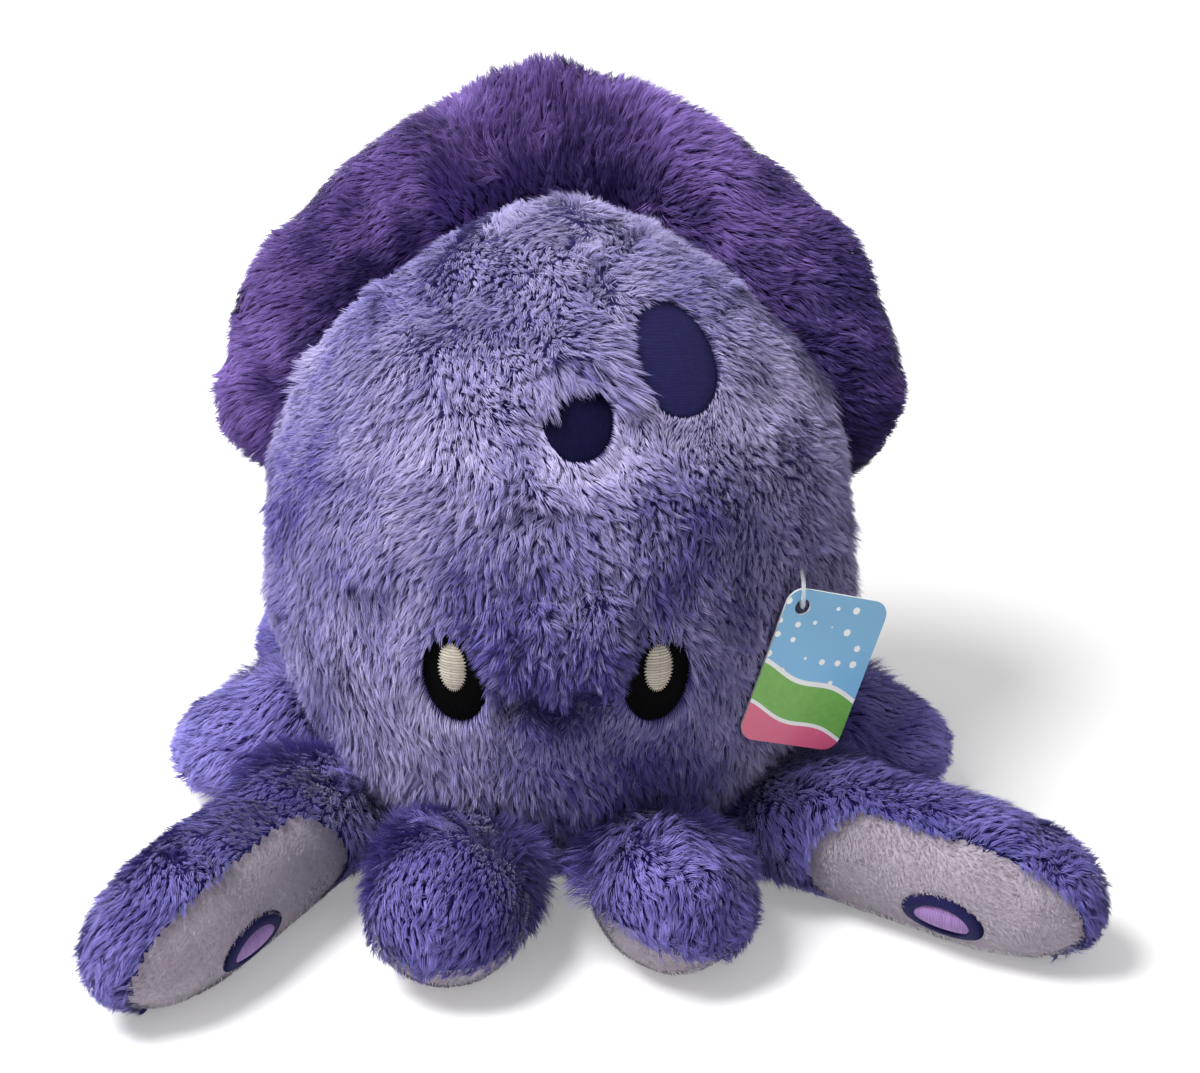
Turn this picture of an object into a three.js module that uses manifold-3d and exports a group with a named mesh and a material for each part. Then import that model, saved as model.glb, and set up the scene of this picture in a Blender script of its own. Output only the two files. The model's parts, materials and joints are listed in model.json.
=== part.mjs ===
// A stuffed plush squid. A gumdrop body is sewn from a face panel, a back panel and a round base, and a
// padded fin stands in the seam over the top. Eight short arms and two longer feeding arms sit in a ring
// under the belly. Eyes, spots and suckers are embroidered patches, and a card tag hangs on a loop.
// Millimetres, +Z up, the face looks along -Y, and the origin is the middle of the base on the table.

import * as THREE from "three";
import { mergeVertices } from "three/addons/utils/BufferGeometryUtils.js";
import Module from "manifold-3d";

// Fabric and fits
const skinThickness = 4;
const seamGap = 0.3;
const restCut = 0.5;

// Body, as the half outline that is turned about Z
const bodyRadius = 86;
const waistHeight = 93.5;
const bodyHeight = 194;
const baseRadius = 40;
const baseFlare = 22;
const baseLift = 4;
const bellyBulgeHeight = 57;
const domeBulgeHeight = 52;
const domeSpread = 38;
const domeDrop = 11;

// Fin, in a plane that leans back through the middle of the waist
const finLean = 30;
const finSetback = 8;
const finApexOut = 52;
const finApexBulgeWidth = 46;
const finLobeOut = 22;
const finLobeRise = 42;
const finLobeBulgeHeight = 47;
const finLobeTuck = 12;
const finEndRise = 14;
const finEndBulgeWidth = 8;
const finThickness = 40;
const finEndThickness = 16;
const finSink = 10;
const finFlop = 10;

// Short arms and feeding arms, with headings from the front round to +X
const rootRadius = 20;
const swellLength = 10;
const underSeamDrop = 6;
const armWidth = 45;
const armThickness = 42;
const sideArmThickness = 34;
const armTipLength = 20;
const frontLeftArmReach = 38;
const frontRightArmReach = 33;
const sideArmReach = 32;
const rearArmReach = 32;
const backArmReach = 33;
const frontLeftArmHeading = -8;
const frontRightArmHeading = 25;
const leftSideArmHeading = -70;
const rightSideArmHeading = 72;
const leftRearArmHeading = -130;
const rightRearArmHeading = 132;
const leftBackArmHeading = -156;
const rightBackArmHeading = 160;
const frontRightArmRoll = 22;
const feedingArmWidth = 42;
const feedingArmThickness = 40;
const feedingArmTipLength = 32;
const leftFeedingArmReach = 94;
const rightFeedingArmReach = 94;
const leftFeedingArmHeading = -29.5;
const rightFeedingArmHeading = 57;
const feedingArmRoll = 74;

// Embroidered patches
const patchThickness = 1.2;
const eyeWidth = 19;
const eyeHeight = 29;
const eyeAzimuth = 19;
const eyeDrop = 10.2;
const highlightWidth = 8.4;
const highlightHeight = 15.5;
const highlightRise = 2.4;
const largeSpotWidth = 28;
const largeSpotHeight = 37;
const largeSpotAzimuth = 37;
const largeSpotBelowTop = 31;
const largeSpotTurn = -16;
const smallSpotWidth = 19;
const smallSpotHeight = 23;
const smallSpotAzimuth = 5.5;
const smallSpotBelowTop = 42;
const suckerLength = 24;
const suckerWidth = 15;
const suckerRim = 3.2;
const suckerFromTip = 40;

// Card tag and its loop
const tagWidth = 33;
const tagHeight = 48;
const tagThickness = 0.8;
const tagCorner = 5;
const tagHoleRadius = 2.4;
const tagHoleInset = 5.5;
const tagInset = 17;
const tagTilt = 19;
const tagYaw = 20;
const tagStandoff = 2;
const tagAboveArm = 4;
const loopDiameter = 1.2;
const loopRise = 8;
const loopFront = 3;

// Facets of the outsides and of the linings under them. An edge of the body runs down to each arm's root.
const bodyFacets = { segments: 40, belly: 8, dome: 9 };
const liningFacets = { segments: 20, belly: 5, dome: 6 };
const finRoomFacets = { segments: 20, belly: 8, dome: 9 };
const outerSides = 12;
const liningSides = 8;
const rootRings = [0.8, 0.4];
const tipRings = [0.55, 0.88];
const finTuckSteps = 3;
const finSideSteps = 6;
const patchSides = 20;
const tagArcSteps = 3;
const loopSides = 4;
const loopBends = 4;
const loopSteps = 14;
const searchSteps = 40;
const weldDistance = 1e-4;

const wasm = await Module();
wasm.setup();

const degrees = THREE.MathUtils.degToRad;
const waist = new THREE.Vector3(0, 0, waistHeight);
const farSide = 4 * (bodyRadius + bodyHeight);

const bodyFur = new THREE.MeshStandardMaterial({ color: 0x7c76b2, roughness: 0.95, metalness: 0 });
const armFur = new THREE.MeshStandardMaterial({ color: 0x625da8, roughness: 0.95, metalness: 0 });
const finFur = new THREE.MeshStandardMaterial({ color: 0x5d4792, roughness: 0.95, metalness: 0 });
const paleFur = new THREE.MeshStandardMaterial({ color: 0xaea3b4, roughness: 0.95, metalness: 0 });
const fibre = new THREE.MeshStandardMaterial({ color: 0xeeeeea, roughness: 1, metalness: 0 });
const navyThread = new THREE.MeshStandardMaterial({ color: 0x26265a, roughness: 0.6, metalness: 0 });
const blackThread = new THREE.MeshStandardMaterial({ color: 0x0a0a0c, roughness: 0.6, metalness: 0 });
const creamThread = new THREE.MeshStandardMaterial({ color: 0xcfc8b8, roughness: 0.55, metalness: 0 });
const lilacThread = new THREE.MeshStandardMaterial({ color: 0x9670b4, roughness: 0.55, metalness: 0 });
const card = new THREE.MeshStandardMaterial({ color: 0x6fb5d8, roughness: 0.4, metalness: 0 });
const clearPlastic = new THREE.MeshStandardMaterial({ color: 0xd8e0ea, roughness: 0.3, metalness: 0 });

// Solids

function solid(geometry) {
  const bare = geometry.clone();
  bare.deleteAttribute("normal");
  bare.deleteAttribute("uv");
  const merged = mergeVertices(bare, weldDistance);
  const vertProperties = new Float32Array(merged.attributes.position.array);
  const triVerts = new Uint32Array(merged.index.array);
  return new wasm.Manifold(new wasm.Mesh({ numProp: 3, vertProperties, triVerts }));
}

function geometryOf(shape) {
  const mesh = shape.getMesh();
  const geometry = new THREE.BufferGeometry();
  geometry.setAttribute("position", new THREE.BufferAttribute(new Float32Array(mesh.vertProperties), 3));
  geometry.setIndex(new THREE.BufferAttribute(new Uint32Array(mesh.triVerts), 1));
  geometry.computeVertexNormals();
  return geometry;
}

function piece(name, shape, material) {
  const mesh = new THREE.Mesh(geometryOf(shape), material);
  mesh.name = name;
  return mesh;
}

// The half of space that lies on the normal's side of a plane at a distance from the origin
function halfSpace(normal, distance) {
  const block = new THREE.BoxGeometry(farSide, farSide, farSide);
  block.translate(0, 0, farSide / 2);
  const turn = new THREE.Quaternion().setFromUnitVectors(new THREE.Vector3(0, 0, 1), normal);
  block.applyQuaternion(turn);
  block.translate(normal.x * distance, normal.y * distance, normal.z * distance);
  return solid(block);
}

// A closed surface over rings of points, drawn to one point at each end
function loft(rings, firstPole, lastPole) {
  const sides = rings[0].length;
  const points = [firstPole, ...rings.flat(), lastPole];
  const last = points.length - 1;
  const faces = [];
  for (let side = 0; side < sides; side += 1) {
    const next = (side + 1) % sides;
    faces.push(0, 1 + next, 1 + side);
    for (let ring = 0; ring + 1 < rings.length; ring += 1) {
      const near = 1 + ring * sides;
      const far = near + sides;
      faces.push(near + side, near + next, far + next);
      faces.push(near + side, far + next, far + side);
    }
    const end = 1 + (rings.length - 1) * sides;
    faces.push(end + side, end + next, last);
  }
  const geometry = new THREE.BufferGeometry().setFromPoints(points);
  geometry.setIndex(faces);
  return geometry;
}

// Body

const bellyCurve = new THREE.CubicBezierCurve(
  new THREE.Vector2(baseRadius, 0),
  new THREE.Vector2(baseRadius + baseFlare, baseLift),
  new THREE.Vector2(bodyRadius, waistHeight - bellyBulgeHeight),
  new THREE.Vector2(bodyRadius, waistHeight),
);
const domeCurve = new THREE.CubicBezierCurve(
  new THREE.Vector2(bodyRadius, waistHeight),
  new THREE.Vector2(bodyRadius, waistHeight + domeBulgeHeight),
  new THREE.Vector2(domeSpread, bodyHeight - domeDrop),
  new THREE.Vector2(0, bodyHeight),
);

// The body's half outline, moved out by an amount, from the base's middle to the top of the dome
function bodyOutline(grow, facets) {
  const outline = [new THREE.Vector2(0, -grow)];
  const addSamples = (curve, first, last, steps) => {
    for (let step = first; step <= last; step += 1) {
      const place = curve.getPoint(step / steps);
      const along = curve.getTangent(step / steps);
      outline.push(new THREE.Vector2(place.x + along.y * grow, place.y - along.x * grow));
    }
  };
  addSamples(bellyCurve, 0, facets.belly, facets.belly);
  addSamples(domeCurve, 1, facets.dome - 1, facets.dome);
  outline.push(new THREE.Vector2(0, bodyHeight + grow));
  return outline;
}

function bodyGeometry(grow, facets = bodyFacets) {
  return new THREE.LatheGeometry(bodyOutline(grow, facets), facets.segments).rotateX(Math.PI / 2);
}

function bodySolid(grow, facets = bodyFacets) {
  return solid(bodyGeometry(grow, facets));
}

// The outline's radius and outward slope at a height
function bodySection(height) {
  const curve = height < waistHeight ? bellyCurve : domeCurve;
  let low = 0;
  let high = 1;
  for (let step = 0; step < searchSteps; step += 1) {
    const middle = (low + high) / 2;
    if (curve.getPoint(middle).y < height) {
      low = middle;
    } else {
      high = middle;
    }
  }
  const along = curve.getTangent(low);
  return { radius: curve.getPoint(low).x, normal: new THREE.Vector2(along.y, -along.x) };
}

// A frame on the body: x runs round it, y up its side and z straight out of it
function bodyFrame(azimuth, height) {
  const section = bodySection(height);
  const out = new THREE.Vector3(Math.sin(azimuth), -Math.cos(azimuth), 0);
  const around = new THREE.Vector3(Math.cos(azimuth), Math.sin(azimuth), 0);
  const normal = out.clone().multiplyScalar(section.normal.x);
  normal.z = section.normal.y;
  const rise = new THREE.Vector3().crossVectors(normal, around);
  const frame = new THREE.Matrix4().makeBasis(around, rise, normal);
  frame.setPosition(out.multiplyScalar(section.radius).setZ(height));
  return frame;
}

const finBack = new THREE.Vector3(0, Math.cos(degrees(finLean)), -Math.sin(degrees(finLean)));
const seamDistance = finBack.dot(waist) + finSetback;

function disc(radius, thickness) {
  return new THREE.CylinderGeometry(radius, radius, thickness, bodyFacets.segments).rotateX(Math.PI / 2);
}

function makeBody() {
  const group = new THREE.Group();
  const overLining = halfSpace(new THREE.Vector3(0, 0, 1), skinThickness + seamGap);
  const baseHole = solid(disc(baseRadius, 3 * skinThickness));
  const baseDisc = solid(disc(baseRadius - seamGap, skinThickness).translate(0, 0, skinThickness / 2));
  const wall = bodySolid(0).subtract(bodySolid(-skinThickness, liningFacets)).subtract(baseHole);
  const face = wall.intersect(halfSpace(finBack.clone().negate(), seamGap / 2 - seamDistance));
  const back = wall.intersect(halfSpace(finBack, seamDistance + seamGap / 2));
  const filling = bodySolid(-skinThickness - seamGap, liningFacets).intersect(overLining);
  group.add(piece("face_panel", face, bodyFur));
  group.add(piece("back_panel", back, bodyFur));
  group.add(piece("base_panel", baseDisc, bodyFur));
  group.add(piece("body_stuffing", filling, fibre));
  return group;
}

// Fin

// How far the body's surface is from the middle of the waist, along a direction
function bodyReach(direction) {
  let inside = 0;
  let outside = bodyRadius + bodyHeight;
  for (let step = 0; step < searchSteps; step += 1) {
    const reach = (inside + outside) / 2;
    const height = waistHeight + direction.z * reach;
    const within = height > 0 && height < bodyHeight
      && Math.hypot(direction.x, direction.y) * reach < bodySection(height).radius;
    if (within) {
      inside = reach;
    } else {
      outside = reach;
    }
  }
  return inside;
}

function leanedBack(x, rise) {
  return new THREE.Vector3(x, rise * Math.sin(degrees(finLean)), rise * Math.cos(degrees(finLean)));
}

// The right half of the fin's rim, from its lower end to the apex, across and up the leaning plane
function finRim() {
  const apex = new THREE.Vector2(0, bodyReach(leanedBack(0, 1)) + finApexOut);
  const lobe = new THREE.Vector2(bodyRadius + finLobeOut, finLobeRise);
  const end = new THREE.Vector2(bodyRadius, finEndRise);
  const tuck = new THREE.CubicBezierCurve(
    end,
    new THREE.Vector2(end.x + finEndBulgeWidth, end.y + finEndBulgeWidth / 2),
    new THREE.Vector2(lobe.x, lobe.y - finLobeTuck),
    lobe,
  );
  const side = new THREE.CubicBezierCurve(
    lobe,
    new THREE.Vector2(lobe.x, lobe.y + finLobeBulgeHeight),
    new THREE.Vector2(finApexBulgeWidth, apex.y),
    apex,
  );
  return [...tuck.getPoints(finTuckSteps).slice(0, finTuckSteps), ...side.getPoints(finSideSteps)];
}

// The pad between the rim and the body, drawn in by an amount
function finSolid(inset, sides) {
  const half = finRim();
  const rim = [...half.map((point) => new THREE.Vector2(-point.x, point.y)), ...half.slice(0, -1).reverse()];
  const rings = rim.map((point, index) => {
    const outward = point.clone().normalize();
    const root = bodyReach(leanedBack(outward.x, outward.y)) - finSink;
    const middle = (root + point.length()) / 2;
    const depthShare = Math.sin((Math.PI * (index + 0.5)) / rim.length);
    const halfDepth = (finEndThickness + (finThickness - finEndThickness) * depthShare) / 2 - inset;
    const halfReach = (point.length() - root) / 2 - inset;
    return Array.from({ length: sides }, (_, side) => {
      const angle = (2 * Math.PI * side) / sides;
      const reach = middle + halfReach * Math.cos(angle);
      const depth = finSetback - halfDepth * Math.sin(angle);
      return new THREE.Vector3(outward.x * reach, depth, outward.y * reach);
    });
  });
  const sum = (ring) => ring.reduce((total, point) => total.add(point), new THREE.Vector3());
  const centre = (ring) => sum(ring).divideScalar(sides);
  return solid(loft(rings, centre(rings[0]), centre(rings.at(-1))));
}

// The room that the body takes up in the fin's own frame as the fin flops back and forth
function bodyRoomForFin() {
  const flatness = bodyRadius * (1 - Math.cos(Math.PI / finRoomFacets.segments));
  let room = null;
  for (const share of [-1, 0, 1]) {
    const turned = bodyGeometry(seamGap + flatness, finRoomFacets)
      .translate(0, 0, -waistHeight)
      .rotateX(degrees(finLean - share * finFlop));
    room = room ? room.add(solid(turned)) : solid(turned);
  }
  return room;
}

function makeFin() {
  const group = new THREE.Group();
  group.position.copy(waist);
  group.rotation.x = -degrees(finLean);
  const room = bodyRoomForFin();
  const wall = finSolid(0, outerSides).subtract(finSolid(skinThickness, liningSides)).subtract(room);
  const backward = new THREE.Vector3(0, 1, 0);
  const front = wall.intersect(halfSpace(backward.clone().negate(), seamGap / 2 - finSetback));
  const back = wall.intersect(halfSpace(backward, finSetback + seamGap / 2));
  group.add(piece("fin_front_panel", front, finFur));
  group.add(piece("fin_back_panel", back, finFur));
  group.add(piece("fin_stuffing", finSolid(skinThickness + seamGap, liningSides).subtract(room), fibre));
  return group;
}

// Arms

// How far a point beside the body is from the flats of its outline
function bodyDistance(radius, height) {
  const point = new THREE.Vector3(radius, height, 0);
  const corners = bodyOutline(0, bodyFacets).map((corner) => new THREE.Vector3(corner.x, corner.y, 0));
  const nearest = new THREE.Vector3();
  const distances = corners.slice(1).map((corner, index) => {
    new THREE.Line3(corners[index], corner).closestPointToPoint(point, true, nearest);
    return nearest.distanceTo(point);
  });
  return Math.min(...distances);
}

// Where an arm's round root, at a height, just clears the belly
function rootSeat(height) {
  let near = 0;
  let far = 2 * (bodyRadius + rootRadius);
  for (let step = 0; step < searchSteps; step += 1) {
    const middle = (near + far) / 2;
    const under = middle < bodySection(height).radius;
    if (under || bodyDistance(middle, height) < rootRadius + seamGap) {
      near = middle;
    } else {
      far = middle;
    }
  }
  return far;
}

// An arm along +X with the middle of its round root at the origin, grown or drawn in by an amount.
// It swells upwards, so that its lower side stays level with the root's.
function limbSolid(limb, grow, sides) {
  const root = rootRadius + grow;
  const tipLength = limb.tipLength + grow;
  const capStart = limb.reach - limb.tipLength;
  const straight = capStart - swellLength;
  const extra = Math.max(1, Math.round(straight / swellLength));
  const places = [...rootRings.map((share) => -share * root), 0, swellLength / 2, swellLength];
  for (let step = 1; step <= extra; step += 1) {
    places.push(swellLength + (straight * step) / extra);
  }
  places.push(...tipRings.map((share) => capStart + share * tipLength));
  const rise = (swell) => limb.up.clone().multiplyScalar(swell * (limb.halfHeight - rootRadius));
  const rings = places.map((x) => {
    const swell = THREE.MathUtils.smoothstep(x, 0, swellLength);
    const past = Math.max(0, x - capStart) / tipLength;
    const taper = x < 0 ? Math.sqrt(1 - (x / root) ** 2) : Math.sqrt(1 - past * past);
    const halfWidth = taper * (root + (limb.width / 2 + grow - root) * swell);
    const halfThickness = taper * (root + (limb.thickness / 2 + grow - root) * swell);
    return Array.from({ length: sides }, (_, side) => {
      const angle = (2 * Math.PI * side) / sides;
      const edge = new THREE.Vector3(x, halfWidth * Math.cos(angle), halfThickness * Math.sin(angle));
      return edge.add(rise(swell));
    });
  });
  const tip = new THREE.Vector3(capStart + tipLength, 0, 0).add(rise(1));
  return solid(loft(rings, new THREE.Vector3(-root, 0, 0), tip));
}

function makeLimb(limb) {
  const seat = rootSeat(rootRadius - restCut);
  const turn = new THREE.Group();
  turn.position.set(seat * Math.sin(limb.azimuth), -seat * Math.cos(limb.azimuth), rootRadius - restCut);
  turn.rotation.z = limb.heading - Math.PI / 2;
  const roll = new THREE.Group();
  roll.rotation.x = limb.roll;
  turn.add(roll);
  const table = restCut - rootRadius;
  const overTable = halfSpace(limb.up, table);
  const overSkin = halfSpace(limb.up, table + skinThickness);
  const overLining = halfSpace(limb.up, table + skinThickness + seamGap);
  const hollow = limbSolid(limb, -skinThickness, liningSides).intersect(overSkin);
  const wall = limbSolid(limb, 0, outerSides).subtract(hollow).intersect(overTable);
  const filling = limbSolid(limb, -skinThickness - seamGap, liningSides).intersect(overLining);
  const seam = limb.up.z * (limb.halfHeight - rootRadius) - underSeamDrop;
  const upward = new THREE.Vector3(0, 0, 1);
  const top = wall.intersect(halfSpace(upward, seam + seamGap / 2));
  const under = wall.intersect(halfSpace(upward.clone().negate(), seamGap / 2 - seam));
  roll.add(piece(`${limb.name}_top_panel`, top, armFur));
  roll.add(piece(`${limb.name}_under_panel`, under, paleFur));
  roll.add(piece(`${limb.name}_stuffing`, filling, fibre));
  if (limb.sucker) {
    addSucker(roll, limb);
  }
  return turn;
}

// Half the height that an oval arm takes up when it is rolled about its length
function rolledHalfHeight(width, thickness, roll) {
  return Math.hypot(thickness * Math.cos(roll), width * Math.sin(roll)) / 2;
}

// The arms sit evenly in a ring, in pairs from the front to the back, and each lies along its own heading.
// A feeding arm is rolled about its length, so that its pale underside faces the front.
function limbList() {
  const pairs = [
    {
      place: "front",
      left: { reach: frontLeftArmReach, heading: frontLeftArmHeading, roll: 0 },
      right: { reach: frontRightArmReach, heading: frontRightArmHeading, roll: -frontRightArmRoll },
    },
    {
      place: "feeding",
      left: { reach: leftFeedingArmReach, heading: leftFeedingArmHeading, roll: feedingArmRoll },
      right: { reach: rightFeedingArmReach, heading: rightFeedingArmHeading, roll: -feedingArmRoll },
    },
    {
      place: "side",
      left: { reach: sideArmReach, heading: leftSideArmHeading, roll: 0 },
      right: { reach: sideArmReach, heading: rightSideArmHeading, roll: 0 },
    },
    {
      place: "rear",
      left: { reach: rearArmReach, heading: leftRearArmHeading, roll: 0 },
      right: { reach: rearArmReach, heading: rightRearArmHeading, roll: 0 },
    },
    {
      place: "back",
      left: { reach: backArmReach, heading: leftBackArmHeading, roll: 0 },
      right: { reach: backArmReach, heading: rightBackArmHeading, roll: 0 },
    },
  ];
  const pitch = Math.PI / pairs.length;
  return pairs.flatMap((pair, index) => ["left", "right"].map((side) => {
    const feeding = pair.place === "feeding";
    const width = feeding ? feedingArmWidth : armWidth;
    const flatter = pair.place === "side" ? sideArmThickness : armThickness;
    const thickness = feeding ? feedingArmThickness : flatter;
    const roll = degrees(pair[side].roll);
    return {
      name: `${pair.place}_${side}_arm`,
      azimuth: (side === "left" ? -pitch : pitch) * (index + 0.5),
      heading: degrees(pair[side].heading),
      reach: pair[side].reach,
      tipLength: feeding ? feedingArmTipLength : armTipLength,
      width,
      thickness,
      roll,
      up: new THREE.Vector3(0, Math.sin(roll), Math.cos(roll)),
      halfHeight: rolledHalfHeight(width, thickness, roll),
      sucker: feeding,
    };
  }));
}

// Patches

// An oval cutter along +Z
function ovalCutter(width, height, length) {
  const round = new THREE.CylinderGeometry(0.5, 0.5, length, patchSides);
  return round.rotateX(Math.PI / 2).scale(width, height, 1);
}

// A layer of thread on a surface, where layer 0 lies on the fabric and layer 1 on layer 0
function threadLayer(surface, layer) {
  const low = seamGap + layer * (patchThickness + seamGap);
  return surface(low + patchThickness).subtract(surface(low));
}

function bodyPatch(name, place, material, layer) {
  const cutter = ovalCutter(place.width, place.height, bodyRadius)
    .rotateZ(degrees(place.turn))
    .translate(0, place.rise, 0)
    .applyMatrix4(bodyFrame(degrees(place.azimuth), place.above));
  return piece(name, threadLayer(bodySolid, layer).intersect(solid(cutter)), material);
}

function makeFacePatches() {
  const group = new THREE.Group();
  for (const [side, sign] of [["left", -1], ["right", 1]]) {
    const eye = {
      width: eyeWidth,
      height: eyeHeight,
      azimuth: sign * eyeAzimuth,
      above: waistHeight - eyeDrop,
      turn: 0,
      rise: 0,
    };
    const shine = { ...eye, width: highlightWidth, height: highlightHeight, rise: highlightRise };
    group.add(bodyPatch(`eye_${side}`, eye, blackThread, 0));
    group.add(bodyPatch(`eye_${side}_highlight`, shine, creamThread, 1));
  }
  const largeSpot = {
    width: largeSpotWidth,
    height: largeSpotHeight,
    azimuth: largeSpotAzimuth,
    above: bodyHeight - largeSpotBelowTop,
    turn: largeSpotTurn,
    rise: 0,
  };
  const smallSpot = {
    width: smallSpotWidth,
    height: smallSpotHeight,
    azimuth: smallSpotAzimuth,
    above: bodyHeight - smallSpotBelowTop,
    turn: 0,
    rise: 0,
  };
  group.add(bodyPatch("spot_large", largeSpot, navyThread, 0));
  group.add(bodyPatch("spot_small", smallSpot, navyThread, 0));
  return group;
}

function addSucker(parent, limb) {
  const thread = threadLayer((grow) => limbSolid(limb, grow, outerSides), 0);
  const side = limb.up.y * (limb.halfHeight - rootRadius);
  const oval = (inset) => solid(ovalCutter(suckerLength - 2 * inset, suckerWidth - 2 * inset, limb.thickness)
    .translate(limb.reach - suckerFromTip, side, -limb.thickness / 2));
  const rim = thread.intersect(oval(0)).subtract(oval(suckerRim));
  const centre = thread.intersect(oval(suckerRim + seamGap));
  parent.add(piece(`${limb.name}_sucker_rim`, rim, navyThread));
  parent.add(piece(`${limb.name}_sucker_centre`, centre, lilacThread));
}

// Tag

// The card, with its hole at the origin and its print towards -Y
function tagCard() {
  const left = -tagHoleInset;
  const right = tagWidth - tagHoleInset;
  const top = tagHoleInset;
  const bottom = tagHoleInset - tagHeight;
  const outline = new THREE.Shape();
  outline.absarc(right - tagCorner, top - tagCorner, tagCorner, 0, Math.PI / 2);
  outline.absarc(left + tagCorner, top - tagCorner, tagCorner, Math.PI / 2, Math.PI);
  outline.absarc(left + tagCorner, bottom + tagCorner, tagCorner, Math.PI, 1.5 * Math.PI);
  outline.absarc(right - tagCorner, bottom + tagCorner, tagCorner, 1.5 * Math.PI, 2 * Math.PI);
  const hole = new THREE.Path();
  hole.absarc(0, 0, tagHoleRadius, 0, 2 * Math.PI, true);
  outline.holes.push(hole);
  const sheet = new THREE.ExtrudeGeometry(outline, {
    depth: tagThickness,
    bevelEnabled: false,
    curveSegments: tagArcSteps,
  });
  return sheet.translate(0, 0, -tagThickness / 2).rotateX(Math.PI / 2);
}

// The hole's place: the card's lowest corner clears the feeding arm and its inner edge clears the body
function tagHolePlace(turn) {
  const bottom = tagHoleInset - tagHeight;
  const inner = [tagHoleInset, tagHoleInset - tagHeight / 2, bottom]
    .map((rise) => new THREE.Vector3(-tagHoleInset, 0, rise).applyEuler(turn));
  const outerCorner = new THREE.Vector3(tagWidth - tagHoleInset, 0, bottom).applyEuler(turn);
  const armHalf = rolledHalfHeight(feedingArmWidth, feedingArmThickness, degrees(feedingArmRoll));
  const armTop = 2 * armHalf - restCut;
  const height = armTop + tagAboveArm - outerCorner.z;
  const side = bodyRadius - tagInset;
  const depths = inner.map((corner) => {
    const radius = bodySection(height + corner.z).radius;
    const across = Math.min(side + corner.x, radius);
    return Math.sqrt(radius * radius - across * across) + corner.y;
  });
  return new THREE.Vector3(side, -Math.max(...depths) - tagStandoff, height);
}

// A plastic thread from the body's side, over the card's top edge, through the hole and back
function tagLoop(hole) {
  const skinDepth = (height) => {
    const radius = bodySection(height).radius;
    return Math.sqrt(Math.max(0, radius * radius - hole.x * hole.x));
  };
  const over = hole.z + loopRise;
  const at = (depth, height) => new THREE.Vector3(hole.x, -depth, height);
  const bend = Array.from({ length: loopBends + 1 }, (_, step) => {
    const angle = (Math.PI * step) / loopBends;
    return at(loopFront * Math.sin(angle) - hole.y, hole.z + (loopRise * (1 + Math.cos(angle))) / 2);
  });
  const path = new THREE.CatmullRomCurve3([
    at(skinDepth(over) + loopDiameter, over),
    ...bend,
    at(skinDepth(hole.z) + loopDiameter, hole.z),
  ]);
  const section = new THREE.Shape();
  section.absarc(0, 0, loopDiameter / 2, 0, 2 * Math.PI);
  return new THREE.ExtrudeGeometry(section, {
    steps: loopSteps,
    curveSegments: loopSides,
    extrudePath: path,
    bevelEnabled: false,
  });
}

function makeTag() {
  const turn = new THREE.Euler(0, degrees(tagTilt), degrees(tagYaw), "ZYX");
  const hole = tagHolePlace(turn);
  const group = new THREE.Group();
  const hanging = new THREE.Group();
  hanging.position.copy(hole);
  hanging.rotation.copy(turn);
  hanging.add(piece("hang_tag", solid(tagCard()), card));
  group.add(hanging);
  group.add(piece("tag_loop", solid(tagLoop(hole)), clearPlastic));
  return group;
}

const squid = new THREE.Group();
squid.add(makeBody());
squid.add(makeFacePatches());
squid.add(makeFin());
for (const limb of limbList()) {
  squid.add(makeLimb(limb));
}
squid.add(makeTag());

export default squid;
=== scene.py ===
"""Dresses the plush squid's solids in stuffed skins, combed pile, embroidery and a card tag."""

import json
import math

import bmesh
import bpy
import numpy as np
from bpy.props import FloatProperty, FloatVectorProperty, IntProperty, PointerProperty
from bpy.types import Operator, Panel, PropertyGroup
from mathutils import Matrix, Vector
from mathutils.bvhtree import BVHTree
from mathutils.kdtree import KDTree

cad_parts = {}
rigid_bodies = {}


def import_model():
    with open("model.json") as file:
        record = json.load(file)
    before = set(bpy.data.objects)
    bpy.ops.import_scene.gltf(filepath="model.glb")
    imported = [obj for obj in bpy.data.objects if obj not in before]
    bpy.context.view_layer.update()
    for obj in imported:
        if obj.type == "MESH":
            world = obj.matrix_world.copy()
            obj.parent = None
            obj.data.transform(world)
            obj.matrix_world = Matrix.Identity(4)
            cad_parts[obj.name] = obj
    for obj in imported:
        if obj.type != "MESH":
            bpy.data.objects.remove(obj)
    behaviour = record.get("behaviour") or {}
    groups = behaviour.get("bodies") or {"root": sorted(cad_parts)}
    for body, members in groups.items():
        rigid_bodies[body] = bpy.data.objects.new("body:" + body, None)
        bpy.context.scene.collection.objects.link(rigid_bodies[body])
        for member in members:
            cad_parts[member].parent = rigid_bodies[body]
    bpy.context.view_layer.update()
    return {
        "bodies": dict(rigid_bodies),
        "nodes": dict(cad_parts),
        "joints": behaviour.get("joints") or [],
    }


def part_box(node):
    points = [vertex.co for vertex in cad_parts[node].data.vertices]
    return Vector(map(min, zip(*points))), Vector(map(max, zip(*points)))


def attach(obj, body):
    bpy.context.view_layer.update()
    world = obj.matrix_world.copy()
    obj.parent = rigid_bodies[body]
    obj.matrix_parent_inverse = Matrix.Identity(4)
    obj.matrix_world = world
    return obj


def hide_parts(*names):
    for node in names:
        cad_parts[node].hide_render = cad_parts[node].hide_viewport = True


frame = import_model()

bl_info = {
    "name": "Plush squid",
    "version": (1, 0, 0),
    "blender": (4, 5, 0),
    "location": "View3D > Sidebar > Plush",
    "description": "Stuffed skins, combed pile, embroidery and a card tag for the plush squid",
    "category": "Object",
}

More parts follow.
